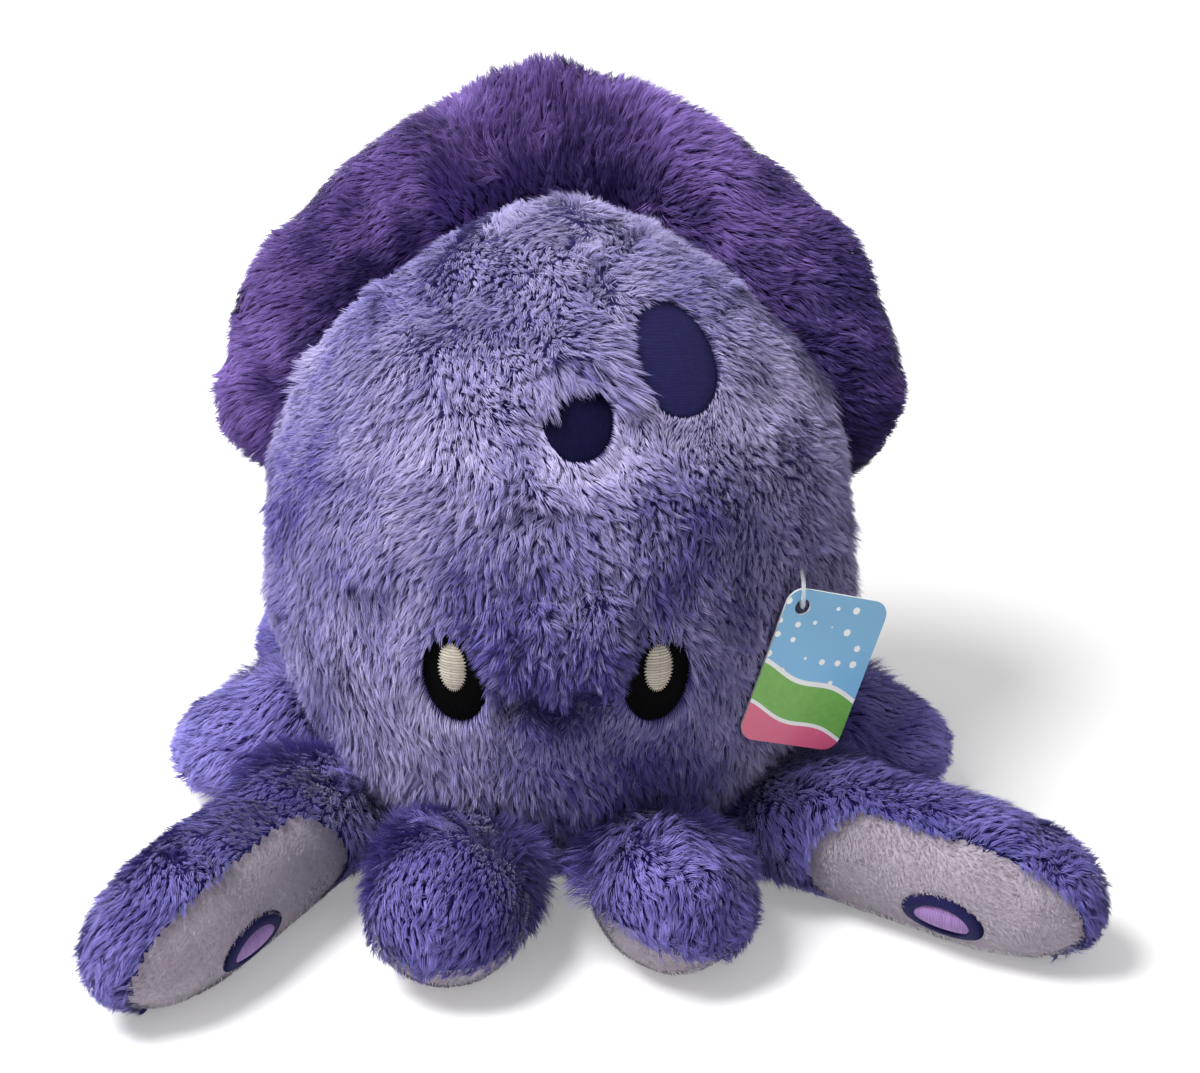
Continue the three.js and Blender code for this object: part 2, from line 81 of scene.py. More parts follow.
MM = 0.001
TINY = 1e-9  # least divisor
ARMS = [name for name in frame["bodies"] if name.endswith("_arm")]
JOINTS = {joint["child"]: joint for joint in frame["joints"]}
SIGNS = {"left": -1, "right": 1}
STRAND_MAP = "OFBake"
PRINT_MAP = "print"
WAIST = np.array([0.0, 0.0, JOINTS["fin"]["pos_m"][2]])
SKIN_FLOOR = 0.3 * MM  # least height of the skins
STRAND_FLOOR = 0.25 * MM  # least height of the strands
SHORTEST = 0.12  # least share of its length that a strand is cut to
SEEING_RAYS = ("Is Camera Ray", "Is Glossy Ray", "Is Transmission Ray")


def srgb(red, green, blue):
    """Linear colour of a shade given in display values up to 255."""
    shares = [value / 255 for value in (red, green, blue)]
    return [c / 12.92 if c <= 0.04045 else ((c + 0.055) / 1.055) ** 2.4 for c in shares]


# Sizes and colours


def length_setting(name, default, description, **limits):
    """A length, given in millimetres."""
    return FloatProperty(name=name, description=description, default=default * MM, unit="LENGTH", **limits)


def angle_setting(name, default, description):
    """An angle, given in degrees."""
    return FloatProperty(name=name, description=description, default=math.radians(default), subtype="ANGLE")


def number_setting(name, default, description, **limits):
    """A share, a strength or another plain number."""
    return FloatProperty(name=name, description=description, default=default, **limits)


def colour_setting(name, default, description):
    """A colour, given in display values up to 255."""
    return FloatVectorProperty(name=name, description=description, default=srgb(*default), subtype="COLOR")


class PlushSkin(PropertyGroup):
    """Sizes of the stuffed skins under the pile."""

    swell: length_setting("Swell", 2.2, "The most that the stuffing moves a point of a skin", min=0)
    pressure: number_setting("Stuffing pressure", 4.0, "Pressure of the stuffing on the skins", min=0)
    brow: length_setting("Brow", 6.0, "How far the brow between the eyes stands out")
    fold: length_setting("Fold", 7.5, "How deep the fold under the brow is")
    droop: length_setting("Droop", 4.5, "How far the brow hangs down over the fold under it")
    lump: length_setting("Lumps", 0.9, "How far the stuffing's soft lumps stand out")
    grain: length_setting("Grain", 4.0, "Face size of the skins while they swell", min=2 * MM)


class PlushPile(PropertyGroup):
    """Sizes of the pile."""

    body_length: length_setting("Body pile", 5.6, "Length of the body's strands")
    fin_length: length_setting("Fin pile", 6.0, "Length of the fin's strands")
    arm_length: length_setting("Arm pile", 5.6, "Length of the strands on the tops of the arms")
    pale_length: length_setting("Pale pile", 1.9, "Length of the strands on the undersides of the arms")
    strand_width: length_setting("Strand width", 0.225, "Width of a strand at its middle")
    density: number_setting("Density", 4.7, "Long strands on a square millimetre of skin", min=0.1)
    pale_density: number_setting("Pale density", 2.4, "Short strands on a square millimetre of skin", min=0.1)
    lock: length_setting("Lock", 1.35, "Distance between the locks that the strands gather in")
    gather: number_setting(
        "Gather",
        0.36,
        "How far the strands of a lock draw together at their tips",
        min=0,
        max=1,
        subtype="FACTOR",
    )
    # Deepening is painted shade: a strand is toned darker the more it is lifted, as standing pile looks
    # darker inside.
    deepening: number_setting(
        "Deepening", 0.2, "How much darker in tone a strand is for each radian that it is lifted"
    )
    lean: angle_setting("Lean", 53, "How far the pile leans over from standing straight out of the skin")
    seed: IntProperty(
        name="Seed", description="Start of the random numbers that the pile is laid with", default=7
    )


# The deep colour goes with a low tone. The tone holds random variation and painted shade, such as the
# darkening of lifted strands.
class PlushColours(PropertyGroup):
    """Colours of the pile, for the locks that stand up and for those that lie flat."""

    body_deep: colour_setting("Body deep", (84, 78, 156), "Colour of the body's pile where it stands up")
    body_light: colour_setting("Body light", (214, 204, 243), "Colour of the body's pile where it lies flat")
    arm_deep: colour_setting("Arm deep", (58, 52, 138), "Colour of the arms' pile where it stands up")
    arm_light: colour_setting("Arm light", (168, 160, 238), "Colour of the arms' pile where it lies flat")
    fin_deep: colour_setting("Fin deep", (54, 33, 100), "Colour of the fin's pile where it stands up")
    fin_light: colour_setting("Fin light", (160, 128, 214), "Colour of the fin's pile where it lies flat")
    pale_deep: colour_setting(
        "Underside deep", (142, 131, 147), "Colour of the short pile of the undersides where it stands up"
    )
    pale_light: colour_setting(
        "Underside light", (202, 191, 203), "Colour of the short pile of the undersides where it lies flat"
    )


class PlushThread(PropertyGroup):
    """Sizes and colours of the embroidery."""

    width: length_setting("Thread", 0.45, "Width of one thread")
    sink: length_setting("Sink", 1.3, "How far a patch lies under the solid's face, down among the pile")
    puff: length_setting("Puff", 0.7, "How far a patch rises from its edge to its middle")
    stitch: length_setting(
        "Stitch", 0.85, "Distance between the stitches along a patch's edge, and between the highlights' rows"
    )
    tooth: length_setting("Tooth", 0.95, "How far the ends of the stitches stagger along a patch's edge")
    skirt: length_setting("Skirt", 0.9, "How far a patch's edge goes down into the fabric")
    highlight_lift: length_setting(
        "Highlight lift", 0.72, "How far a highlight lies over the eye's edge, so that it rests on the eye"
    )
    highlight_raise: length_setting(
        "Highlight raise", 1.0, "How far up the eye a highlight sits from its solid's middle"
    )
    highlight_share: number_setting("Highlight size", 0.93, "Size of a highlight as a share of its solid's")
    centre_share: number_setting("Sucker centre", 1.1, "Size of a sucker's centre as a share of its solid's")
    spot_turn: angle_setting("Spot turn", -16, "Turn of the large spot from upright")
    black: colour_setting("Black thread", (7, 7, 8), "Thread of the eyes")
    cream: colour_setting("Cream thread", (206, 197, 182), "Thread of the eyes' highlights")
    navy: colour_setting("Navy thread", (34, 32, 86), "Thread of the spots and of the suckers' rims")
    lilac: colour_setting("Lilac thread", (176, 140, 204), "Thread of the suckers' centres")


class PlushTag(PropertyGroup):
    """Sizes and colours of the card tag and its loop."""

    width: length_setting("Width", 33, "Width of the card")
    height: length_setting("Height", 48, "Height of the card")
    thickness: length_setting("Thickness", 0.8, "Thickness of the card")
    corner: length_setting("Corner", 5, "Radius of the card's corners")
    hole: length_setting("Hole", 2.4, "Radius of the hole")
    inset: length_setting("Hole inset", 5.5, "Distance of the hole's middle from the card's edges")
    tilt: angle_setting("Tilt", 19, "Turn of the card in its own plane")
    yaw: angle_setting("Yaw", 20, "Turn of the card about the upright")
    loop_width: length_setting("Loop thickness", 1.2, "Thickness of the plastic loop")
    loop_rise: length_setting("Loop rise", 8, "Height of the loop over the hole")
    loop_front: length_setting("Loop front", 3, "How far the loop stands in front of the card")
    blue: colour_setting("Blue", (126, 190, 232), "Blue of the print")
    green: colour_setting("Green", (112, 178, 66), "Green of the print")
    pink: colour_setting("Pink", (228, 96, 132), "Pink of the print")


class PlushStage(PropertyGroup):
    """Camera, floor and light."""

    distance: length_setting("Distance", 700, "Distance of the camera from the point that it looks at")
    elevation: angle_setting("Elevation", 25, "Height angle of the camera")
    lens: number_setting("Lens", 68.9, "Focal length on a sensor 36 mm wide", unit="CAMERA")
    aim_right: length_setting("Aim right", 12.2, "How far right of the waist's middle the camera looks")
    aim_down: length_setting("Aim down", 5.0, "How far below the waist's middle the camera looks")
    key: number_setting("Key light", 23.0, "Power of the soft light on the upper left", unit="POWER")
    key_size: length_setting("Key size", 700, "Width of the soft light")
    key_place: FloatVectorProperty(
        name="Key place",
        description="Where the soft light hangs",
        default=(-0.6, -0.24, 1.14),
        subtype="XYZ",
        unit="LENGTH",
    )
    sky: number_setting("Surrounding light", 0.42, "Strength of the even light from all sides")


def settings(name):
    """One of the squid's groups of settings."""
    return getattr(bpy.context.scene, name)


# Finishes


class Signal:
    """One output in a finish's nodes. Arithmetic on it adds Math nodes."""

    def __init__(self, finish, socket):
        self.finish = finish
        self.socket = socket

    def math(self, operation, *values):
        return self.finish.node("ShaderNodeMath", {"operation": operation}, dict(enumerate(values)))

    def __add__(self, other):
        return self.math("ADD", self, other)

    def __radd__(self, other):
        return self.math("ADD", other, self)

    def __sub__(self, other):
        return self.math("SUBTRACT", self, other)

    def __rsub__(self, other):
        return self.math("SUBTRACT", other, self)

    def __mul__(self, other):
        return self.math("MULTIPLY", self, other)

    def __rmul__(self, other):
        return self.math("MULTIPLY", other, self)

    def __truediv__(self, other):
        return self.math("DIVIDE", self, other)

    def __lt__(self, other):
        return self.math("LESS_THAN", self, other)


class Finish:
    """A material: a Principled shader and the nodes that feed it."""

    def __init__(self, name, **constants):
        self.material = bpy.data.materials.new(name)
        self.material.use_nodes = True
        self.tree = self.material.node_tree
        self.shader = self.tree.nodes["Principled BSDF"]
        for socket, value in constants.items():
            self.shader.inputs[socket.replace("_", " ").title().replace("Ior", "IOR")].default_value = value

    def node(self, kind, options=None, inputs=None, output=0):
        """A node with its options set first, then its sockets' values or links."""
        made = self.tree.nodes.new(kind)
        for key, value in (options or {}).items():
            if key == "stops":
                ramp = made.color_ramp
                while len(ramp.elements) < len(value):
                    ramp.elements.new(1.0)
                for element, (place, colour) in zip(ramp.elements, value):
                    element.position = place
                    element.color = (*colour, 1.0)
            else:
                setattr(made, key, value)
        for key, value in (inputs or {}).items():
            self.feed(made.inputs[key], value)
        return Signal(self, made.outputs[output])

    def feed(self, socket, value):
        """Links a signal to a socket, or sets the socket's own value."""
        if isinstance(value, Signal):
            self.tree.links.new(value.socket, socket)
        else:
            socket.default_value = value

    def place(self):
        """The point on the surface, in metres."""
        return self.node("ShaderNodeTexCoord", output="Object")

    def part(self, vector, axis):
        """One number of a vector."""
        return self.node("ShaderNodeSeparateXYZ", inputs={0: vector}, output=axis)

    def noise(self, scale, detail=2.0):
        """Even noise with that many features to the metre."""
        inputs = {"Vector": self.place(), "Scale": scale, "Detail": detail}
        return self.node("ShaderNodeTexNoise", {}, inputs)

    def ramp(self, factor, *stops):
        """A colour for each value of a factor."""
        return self.node("ShaderNodeValToRGB", {"stops": stops}, {0: factor})

    def mix(self, factor, first, second, blend="MIX"):
        """Two colours mixed by a factor."""
        options = {"data_type": "RGBA", "blend_type": blend}
        rgba = [(*value, 1.0) if not isinstance(value, Signal) else value for value in (first, second)]
        return self.node("ShaderNodeMix", options, {0: factor, 6: rgba[0], 7: rgba[1]}, 2)

    def bump(self, height, distance, strength=1.0):
        """Feeds a height in shares of a distance to the shader's normal."""
        inputs = {"Height": height, "Distance": distance, "Strength": strength}
        self.feed(self.shader.inputs["Normal"], self.node("ShaderNodeBump", {}, inputs))

    def colour(self, value):
        """Feeds a colour to the shader."""
        self.feed(self.shader.inputs["Base Color"], value)

    def roughness(self, value):
        """Feeds a roughness to the shader."""
        self.feed(self.shader.inputs["Roughness"], value)


def scaled(colour, share):
    """A colour made darker or lighter."""
    return [value * share for value in colour]


def pile_finish(name, deep, light):
    """Strands darker at the root, as painted shade deep in the pile, each with a tone of its own between two
    colours.
    """
    finish = Finish(name, roughness=0.65, specular_ior_level=0.2, sheen_weight=0.2, sheen_roughness=0.4)
    strand = finish.node("ShaderNodeUVMap", {"uv_map": STRAND_MAP})
    tone = finish.part(strand, 0)
    along = finish.part(strand, 1)
    middle = [0.6 * a + 0.4 * b for a, b in zip(deep, light)]
    # Below a tone of 0.22 the pile goes far darker than the deep colour: painted shade, for the strands in
    # the fold under the brow and others toned down that far.
    shade = finish.ramp(tone, (0.0, scaled(deep, 0.3)), (0.22, deep), (0.55, middle), (1.0, light))
    # Each strand darkens towards its root: painted shade deep in the pile.
    depth = finish.ramp(along, (0.0, (0.5, 0.5, 0.53)), (0.4, (0.82, 0.82, 0.83)), (1.0, (1.0, 1.0, 1.0)))
    finish.colour(finish.mix(1.0, shade, depth, "MULTIPLY"))
    return finish.material


def backing_finish(name, colour):
    """The knitted backing that shows between the strands."""
    finish = Finish(name, roughness=0.95, specular_ior_level=0.1)
    cloud = finish.noise(90.0, 3.0)
    knit = finish.noise(900.0, 2.0)
    # The backing is a darker copy of the pile's deep colour: painted shade where it shows deep between the
    # strands.
    finish.colour(finish.mix(cloud, scaled(colour, 0.4), scaled(colour, 0.65)))
    finish.bump(knit + 0.5 * cloud, 0.4 * MM, 0.6)
    return finish.material


def velour_finish(name, deep, light):
    """The short pile of the undersides, between its own strands."""
    finish = Finish(name, roughness=0.9, specular_ior_level=0.15, sheen_weight=0.3, sheen_roughness=0.5)
    cloud = finish.noise(70.0, 3.0)
    nap = finish.noise(1400.0, 2.0)
    finish.colour(finish.mix(0.35 * cloud + 0.5 * nap, deep, light))
    finish.bump(nap + 0.4 * cloud, 0.5 * MM, 0.8)
    return finish.material


def thread_finish(name, colour, stitch, thread, across=False, gloss=0.5, shine=0.15, gap_shade=0.55):
    """Rows of stitches, each a thread wide, laid up the patch or across it."""
    finish = Finish(name, specular_ior_level=shine)
    print_map = finish.node("ShaderNodeUVMap", {"uv_map": PRINT_MAP})
    turned = {"Vector": print_map, "Rotation": (0, 0, 0 if across else math.pi / 2)}
    lie = finish.node("ShaderNodeMapping", {}, turned)

    def rows(mortar, output, **colours):
        """Rows of stitches with gaps as wide as a share of the thread."""
        sizes = {"Scale": 1.0, "Mortar Size": mortar * thread, "Mortar Smooth": 1.0}
        sizes.update({"Brick Width": stitch, "Row Height": thread})
        options = {"offset": 0.37, "squash": 1.0}
        return finish.node("ShaderNodeTexBrick", options, {"Vector": lie, **sizes, **colours}, output)

    tints = {"Color1": (0, 0, 0, 1), "Color2": (1, 1, 1, 1), "Mortar": (0.5, 0.5, 0.5, 1)}
    tint = rows(0.18, 0, **tints)
    gap = rows(0.3, 1)
    wear = finish.noise(400.0, 3.0)
    light = finish.mix(tint, scaled(colour, 0.82), scaled(colour, 1.12))
    finish.colour(finish.mix(gap * gap_shade + wear * 0.2, light, scaled(colour, 0.35)))
    finish.roughness(gloss + 0.25 * wear)
    finish.bump(1.0 - gap + 0.4 * wear, 0.5 * thread, 0.9)
    return finish.material


# Meshes


def add_piece(name, mesh, *materials):
    """A new object for a mesh, in the scene and with its materials."""
    piece = bpy.data.objects.new(name, mesh)
    bpy.context.scene.collection.objects.link(piece)
    for material in materials:
        mesh.materials.append(material)
    return piece


def mesh_of(shape, name):
    """A mesh from a bmesh, shaded smooth."""
    mesh = bpy.data.meshes.new(name)
    shape.to_mesh(mesh)
    shape.free()
    mesh.shade_smooth()
    return mesh


def apply_modifiers(piece):
    """Makes a piece's modifiers part of its mesh."""
    seen = piece.evaluated_get(bpy.context.evaluated_depsgraph_get())
    mesh = bpy.data.meshes.new_from_object(seen)
    piece.modifiers.clear()
    piece.data = mesh
    mesh.shade_smooth()


def points_of(mesh, key="co"):
    """A mesh's points, or its normals at them, as rows of numbers."""
    rows = np.empty(len(mesh.vertices) * 3, np.float32)
    mesh.vertices.foreach_get(key, rows)
    return rows.reshape(-1, 3).astype(float)


def normals_of(mesh):
    """A mesh's normals at its points as rows of numbers."""
    return points_of(mesh, "normal")


def unit(vectors):
    """Vectors of length 1."""
    return vectors / np.maximum(np.linalg.norm(vectors, axis=-1, keepdims=True), TINY)


def tree_of(mesh):
    """A search tree over a mesh's faces."""
    return BVHTree.FromPolygons([v.co for v in mesh.vertices], [tuple(p.vertices) for p in mesh.polygons])


def within(points, mesh):
    """Which points lie inside a closed mesh."""
    corners = points_of(mesh)
    near = np.all((points > corners.min(0)) & (points < corners.max(0)), axis=1)
    tree = tree_of(mesh)
    found = np.zeros(len(points), bool)
    for index in np.flatnonzero(near):
        place = Vector(points[index])
        hit, normal, _, _ = tree.find_nearest(place)
        found[index] = (place - hit).dot(normal) < 0
    return found


def distance_to(points, tree):
    """How far each point is from the faces of a search tree."""
    return np.array([tree.find_nearest(Vector(point))[3] for point in points])


def cad_tree(node):
    """A search tree over a solid's faces."""
    return tree_of(frame["nodes"][node].data)


# Skins


def stuffed_skin(name, nodes, *materials):
    """A skin over copies of solids that the stuffing swells."""
    sizes = settings("plush_skin")
    shape = bmesh.new()
    for node in nodes:
        shape.from_mesh(frame["nodes"][node].data)
    bmesh.ops.remove_doubles(shape, verts=shape.verts, dist=0.01 * MM)
    piece = add_piece(name, mesh_of(shape, name))
    remesh = piece.modifiers.new("Skin", "REMESH")
    remesh.mode = "VOXEL"
    remesh.voxel_size = sizes.grain
    apply_modifiers(piece)
    shape = bmesh.new()
    shape.from_mesh(piece.data)
    axes = {"use_axis_x": True, "use_axis_y": True, "use_axis_z": True}
    for _ in range(4):
        bmesh.ops.smooth_vert(shape, verts=shape.verts, factor=0.5, **axes)
    piece.data = mesh_of(shape, name)
    swell(piece)
    smooth = piece.modifiers.new("Smooth", "SUBSURF")
    smooth.levels = smooth.render_levels = 1
    apply_modifiers(piece)
    for material in materials:
        piece.data.materials.append(material)
    piece.data.name = name
    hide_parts(*nodes)
    return piece


def swell(piece):
    """Presses a skin into shape with stuffing, each point no further than the swell."""
    sizes = settings("plush_skin")
    start = moved = points_of(piece.data)
    frames = 20
    cloth = piece.modifiers.new("Stuffing", "CLOTH")
    cloth.settings.quality = 5
    cloth.settings.use_pressure = True
    cloth.settings.uniform_pressure_force = sizes.pressure
    cloth.settings.effector_weights.gravity = 0
    cloth.collision_settings.use_collision = False
    cloth.point_cache.frame_start = 1
    cloth.point_cache.frame_end = frames
    for number in range(1, frames + 1):
        bpy.context.scene.frame_set(number)
    seen = piece.evaluated_get(bpy.context.evaluated_depsgraph_get())
    step = points_of(seen.data) - start
    step -= step.mean(0)
    size = np.linalg.norm(step, axis=1, keepdims=True)
    moved = start + step * np.minimum(1.0, sizes.swell / np.maximum(size, TINY))
    piece.modifiers.clear()
    bpy.context.scene.frame_set(1)
    set_points(piece.data, moved)


def mould(piece, depth, droop=None):
    """Pushes a skin's points out by the depth at each and down by the droop, where there is one."""
    points = points_of(piece.data)
    moved = points + depth(points)[:, None] * normals_of(piece.data)
    if droop:
        moved[:, 2] -= droop(points)
    set_points(piece.data, moved)


def set_points(mesh, points):
    """Moves a mesh's points, none of them below the floor."""
    points[:, 2] = np.maximum(points[:, 2], SKIN_FLOOR)
    mesh.vertices.foreach_set("co", points.astype(np.float32).ravel())
    mesh.update()


# Pile


class Ripple:
    """Smooth noise over space, about 1 high, made of seeded waves."""

    def __init__(self, rng, size):
        waves = 8
        self.pull = unit(rng.normal(size=(waves, 3))) * rng.uniform(0.7, 1.3, (waves, 1)) * 2 * math.pi / size
        self.phase = rng.uniform(0, 2 * math.pi, waves)

    def __call__(self, points):
        return np.sin(points @ self.pull.T + self.phase).sum(1) / math.sqrt(len(self.phase) / 2)


# What each zone adds to the length, the lift in radians, the tone and the wildness of the pile there.
# The row named plain is what the pile has everywhere.
BODY_ZONES = {
    "plain": (1.0, 0, 0, 0.35),
    "broad": (0.08, 0, 0.07, 0),
    "fine": (0, 0.1, 0.06, 0),
    "hills": (0, 0.08, 0, 0),
    "trimmed": (-0.4, -0.2, 0.14, -0.4),
    "over": (1.1, 0.05, 0, 0),
    # The top row lightens the dome's pile: painted light from above.
    "top": (0.05, 0, 0.06, 0.1),
    "low": (0.35, 0, 0, 0),
    "brim": (0.4, 0.14, 0, 0),
    # The under row also darkens the pile under each brim: painted shade.
    "under": (-0.35, -0.15, -0.1, 0),
    "brow": (0.25, 0.15, 0, 0.3),
    "fold": (-0.45, -0.2, 0, 0),
    # This row darkens the pile in the fold under the brow: painted shade.
    "crease_shade": (0, 0, -0.6, 0),
    "muzzle": (-0.2, -0.15, 0.08, -0.35),
    "rims": (-0.2, -0.2, 0.05, -0.5),
    # The fluffed row also darkens the brushed-up pile: painted shade.
    "fluffed": (0, 0.24, -0.13, 0.5),
    # The right row lightens the front's right side and the left row darkens its left side: painted light and
    # shade.
    "right": (0, 0, 0.36, 0),
    "left": (0, 0, -0.1, 0),
}
FIN_ZONES = {
    "plain": (1.0, 0, 0.09, 0.35),
    "broad": (0.1, 0, 0.09, 0),
    "fine": (0, 0.1, 0.07, 0),
    "hills": (0, 0.12, 0, 0),
    "apex": (0.15, 0, 0, 0),
    "rim": (0.3, 0.3, 0, 0.5),
    # The inner row darkens the pile next to the body: painted shade where the fin meets it.
    "inner": (0, 0, -0.14, 0),
    # The left and right rows darken the fin towards its ends. The right and shaded rows are painted shade on
    # the fin's right, most on its front.
    "left": (0, 0, -0.12, 0),
    "right": (0, 0, -0.12, 0),
    "shaded": (0, 0, -0.24, 0),
}
ARM_ZONES = {
    "plain": (1.0, 0, 0, 0.35),
    "broad": (0.1, 0, 0.07, 0),
    "fine": (0, 0.1, 0.06, 0),
    "hills": (0, 0.1, 0, 0),
    "root": (0.35, -0.05, 0, 0),
    "flank": (0.6, 0.35, 0, 0),
    "floor": (-0.75, -0.2, 0, 0),
    "tip": (0, 0.12, 0, 0.35),
    # The pale row lightens the side arms' pile: painted light, as they catch more light than the front arms.
    "pale": (0, 0, 0.32, 0),
}
UNDERSIDE_ZONES = {
    "plain": (1.0, 0, 0, 0.15),
    "broad": (0.08, 0, 0.08, 0),
    "fine": (0, 0, 0.05, 0),
    "hills": (0, 0.06, 0, 0),
}


def weigh(table, **zones):
    """Length, lift, tone and wildness of the pile at points that each zone covers by a share."""
    zones["plain"] = 1.0
    columns = range(len(table["plain"]))
    sums = [sum(row[column] * zones[name] for name, row in table.items()) for column in columns]
    length, lift, tone, wild = sums
    return length, lift, tone, np.clip(wild, 0, 1)


def smoothstep(low, high, value):
    """0 below low, 1 above high and smooth between."""
    share = np.clip((value - low) / (high - low), 0, 1)
    return share * share * (3 - 2 * share)


def scatter(mesh, density, rng):
    """Points spread evenly over a mesh, with their normals. The density is to the square millimetre."""
    mesh.calc_loop_triangles()
    corners = np.empty(len(mesh.loop_triangles) * 3, np.int32)
    mesh.loop_triangles.foreach_get("vertices", corners)
    corners = corners.reshape(-1, 3)
    places = points_of(mesh)[corners]
    normals = normals_of(mesh)[corners]
    edges = np.cross(places[:, 1] - places[:, 0], places[:, 2] - places[:, 0])
    areas = np.cumsum(np.linalg.norm(edges, axis=1) / 2)
    count = int(areas[-1] / MM**2 * density)
    picks = (np.arange(count) + rng.random(count)) / count * areas[-1]
    faces = np.minimum(np.searchsorted(areas, picks), len(areas) - 1)
    first = np.sqrt(rng.random(count))
    second = rng.random(count)
    shares = np.stack([1 - first, first * (1 - second), first * second], axis=1)[:, :, None]
    return (places[faces] * shares).sum(1), unit((normals[faces] * shares).sum(1))


class Coat:
    """Strands of pile in locks: where they root, how they lie and the tone of each.

    comb gives the way that the pile lies at some points. dress gives its length as a share, its lift in
    radians, its tone and, from 0 to 1, how wild its locks are. keep says which points carry pile.
    """

    def __init__(self, mesh, length, density, seed, comb, dress, keep):
        sizes = settings("plush_pile")
        rng = np.random.default_rng(sizes.seed * 1000 + seed)
        self.rng = rng
        roots, normals = scatter(mesh, density, rng)
        chosen = keep(roots, normals)
        roots, normals = roots[chosen], normals[chosen]
        centres, centre_normals = scatter(mesh, MM**2 / sizes.lock**2, rng)
        tree = KDTree(len(centres))
        for index, centre in enumerate(centres):
            tree.insert(centre, index)
        tree.balance()
        owner = np.array([tree.find(root)[1] for root in roots])
        lock_length, lock_lift, _, wild = dress(centres, centre_normals)
        loose = rng.normal(size=(len(centres), 3)) * (0.12 + 0.28 * wild)[:, None]
        reach = rng.uniform(0.8, 1.18, len(centres))
        raised = rng.normal(size=len(centres)) * (0.05 + 0.15 * wild)
        lock_tone = rng.normal(size=len(centres)) * 0.07
        lock_ways = comb(centres, centre_normals) + loose
        lock_length = length * reach * lock_length
        lock_mids, lock_tips = self.lay(centres, centre_normals, lock_ways, lock_length, raised + lock_lift)
        own_length, own_lift, own_tone, _ = dress(roots, normals)
        own_loose = rng.normal(size=(len(roots), 3)) * 0.07
        stretch = rng.uniform(0.72, 1.1, len(roots))
        lift = raised[owner] + own_lift
        ways = comb(roots, normals) + loose[owner] + own_loose
        own_length = length * reach[owner] * stretch * own_length
        self.roots, self.normals = roots, normals
        self.mids, self.tips = self.lay(roots, normals, ways, own_length, lift)
        gather = sizes.gather * rng.uniform(0.6, 1.25, (len(roots), 1))
        self.tips += gather * (lock_tips[owner] - self.tips)
        self.mids += 0.45 * gather * (lock_mids[owner] - self.mids)
        # The tone: random per lock and per strand, the zones' tones, and painted shade that darkens lifted
        # strands.
        tones = 0.55 + lock_tone[owner] + own_tone - sizes.deepening * lift
        self.tones = np.clip(tones + rng.normal(size=len(roots)) * 0.04, 0.03, 0.97)
        self.widths = sizes.strand_width * rng.uniform(0.75, 1.25, len(roots))

    @staticmethod
    def lay(roots, normals, ways, lengths, lifts):
        """The middles and tips of strands that lean over along their way, more at the tip."""
        lean = settings("plush_pile").lean
        flat = unit(ways - (ways * normals).sum(1, keepdims=True) * normals)
        root_rise, tip_fall = 0.30, 0.32
        near = np.clip(lean - root_rise - lifts, 0.05, 1.5)[:, None]
        far = np.clip(lean + tip_fall - lifts, 0.1, 1.75)[:, None]
        half = lengths[:, None] / 2
        mids = roots + half * (np.cos(near) * normals + np.sin(near) * flat)
        tips = mids + half * (np.cos(far) * normals + np.sin(far) * flat)
        return mids, tips

    def shorten(self, shares):
        """Cuts strands to shares of their length."""
        shares = shares[:, None]
        self.mids = self.roots + shares * (self.mids - self.roots)
        self.tips = self.roots + shares * (self.tips - self.roots)

    def piece(self, name, material, chosen=None):
        """A mesh of the strands, each a thin blade with a point at its root and at its tip."""
        chosen = np.arange(len(self.roots)) if chosen is None else np.flatnonzero(chosen)
        roots, mids, tips = self.roots[chosen], self.mids[chosen], self.tips[chosen]
        count = len(chosen)
        along = unit(tips - roots)
        side = unit(np.cross(along, self.normals[chosen] + 1e-6))
        twist = self.rng.normal(size=(count, 1)) * 0.25
        side = side * np.cos(twist) + unit(np.cross(side, along)) * np.sin(twist)
        half = self.widths[chosen][:, None] / 2
        places = np.stack([roots, mids - half * side, mids + half * side, tips], axis=1)
        places[:, :, 2] = np.maximum(places[:, :, 2], STRAND_FLOOR)
        corners = np.array([[0, 2, 1], [1, 2, 3]])
        faces = (np.arange(count)[:, None, None] * places.shape[1] + corners).reshape(-1, 3)
        mesh = bpy.data.meshes.new(name)
        mesh.vertices.add(places.shape[0] * places.shape[1])
        mesh.vertices.foreach_set("co", places.astype(np.float32).ravel())
        mesh.loops.add(faces.size)
        mesh.loops.foreach_set("vertex_index", faces.astype(np.int32).ravel())
        mesh.polygons.add(len(faces))
        mesh.polygons.foreach_set("loop_start", np.arange(0, faces.size, 3, dtype=np.int32))
        offsets = np.array([[0, 0.02], [-0.004, 0.5], [0.004, 0.5], [0, 0.98]])
        spots = np.repeat(offsets[None], count, axis=0)
        spots[:, :, 0] += 0.02 + 0.96 * self.tones[chosen][:, None]
        uvs = spots.reshape(-1, 2)[faces.ravel()]
        mesh.uv_layers.new(name=STRAND_MAP).data.foreach_set("uv", uvs.astype(np.float32).ravel())
        mesh.update(calc_edges=True)
        mesh.validate()
        mesh.shade_smooth()
        return add_piece(name, mesh, material)


# Embroidery


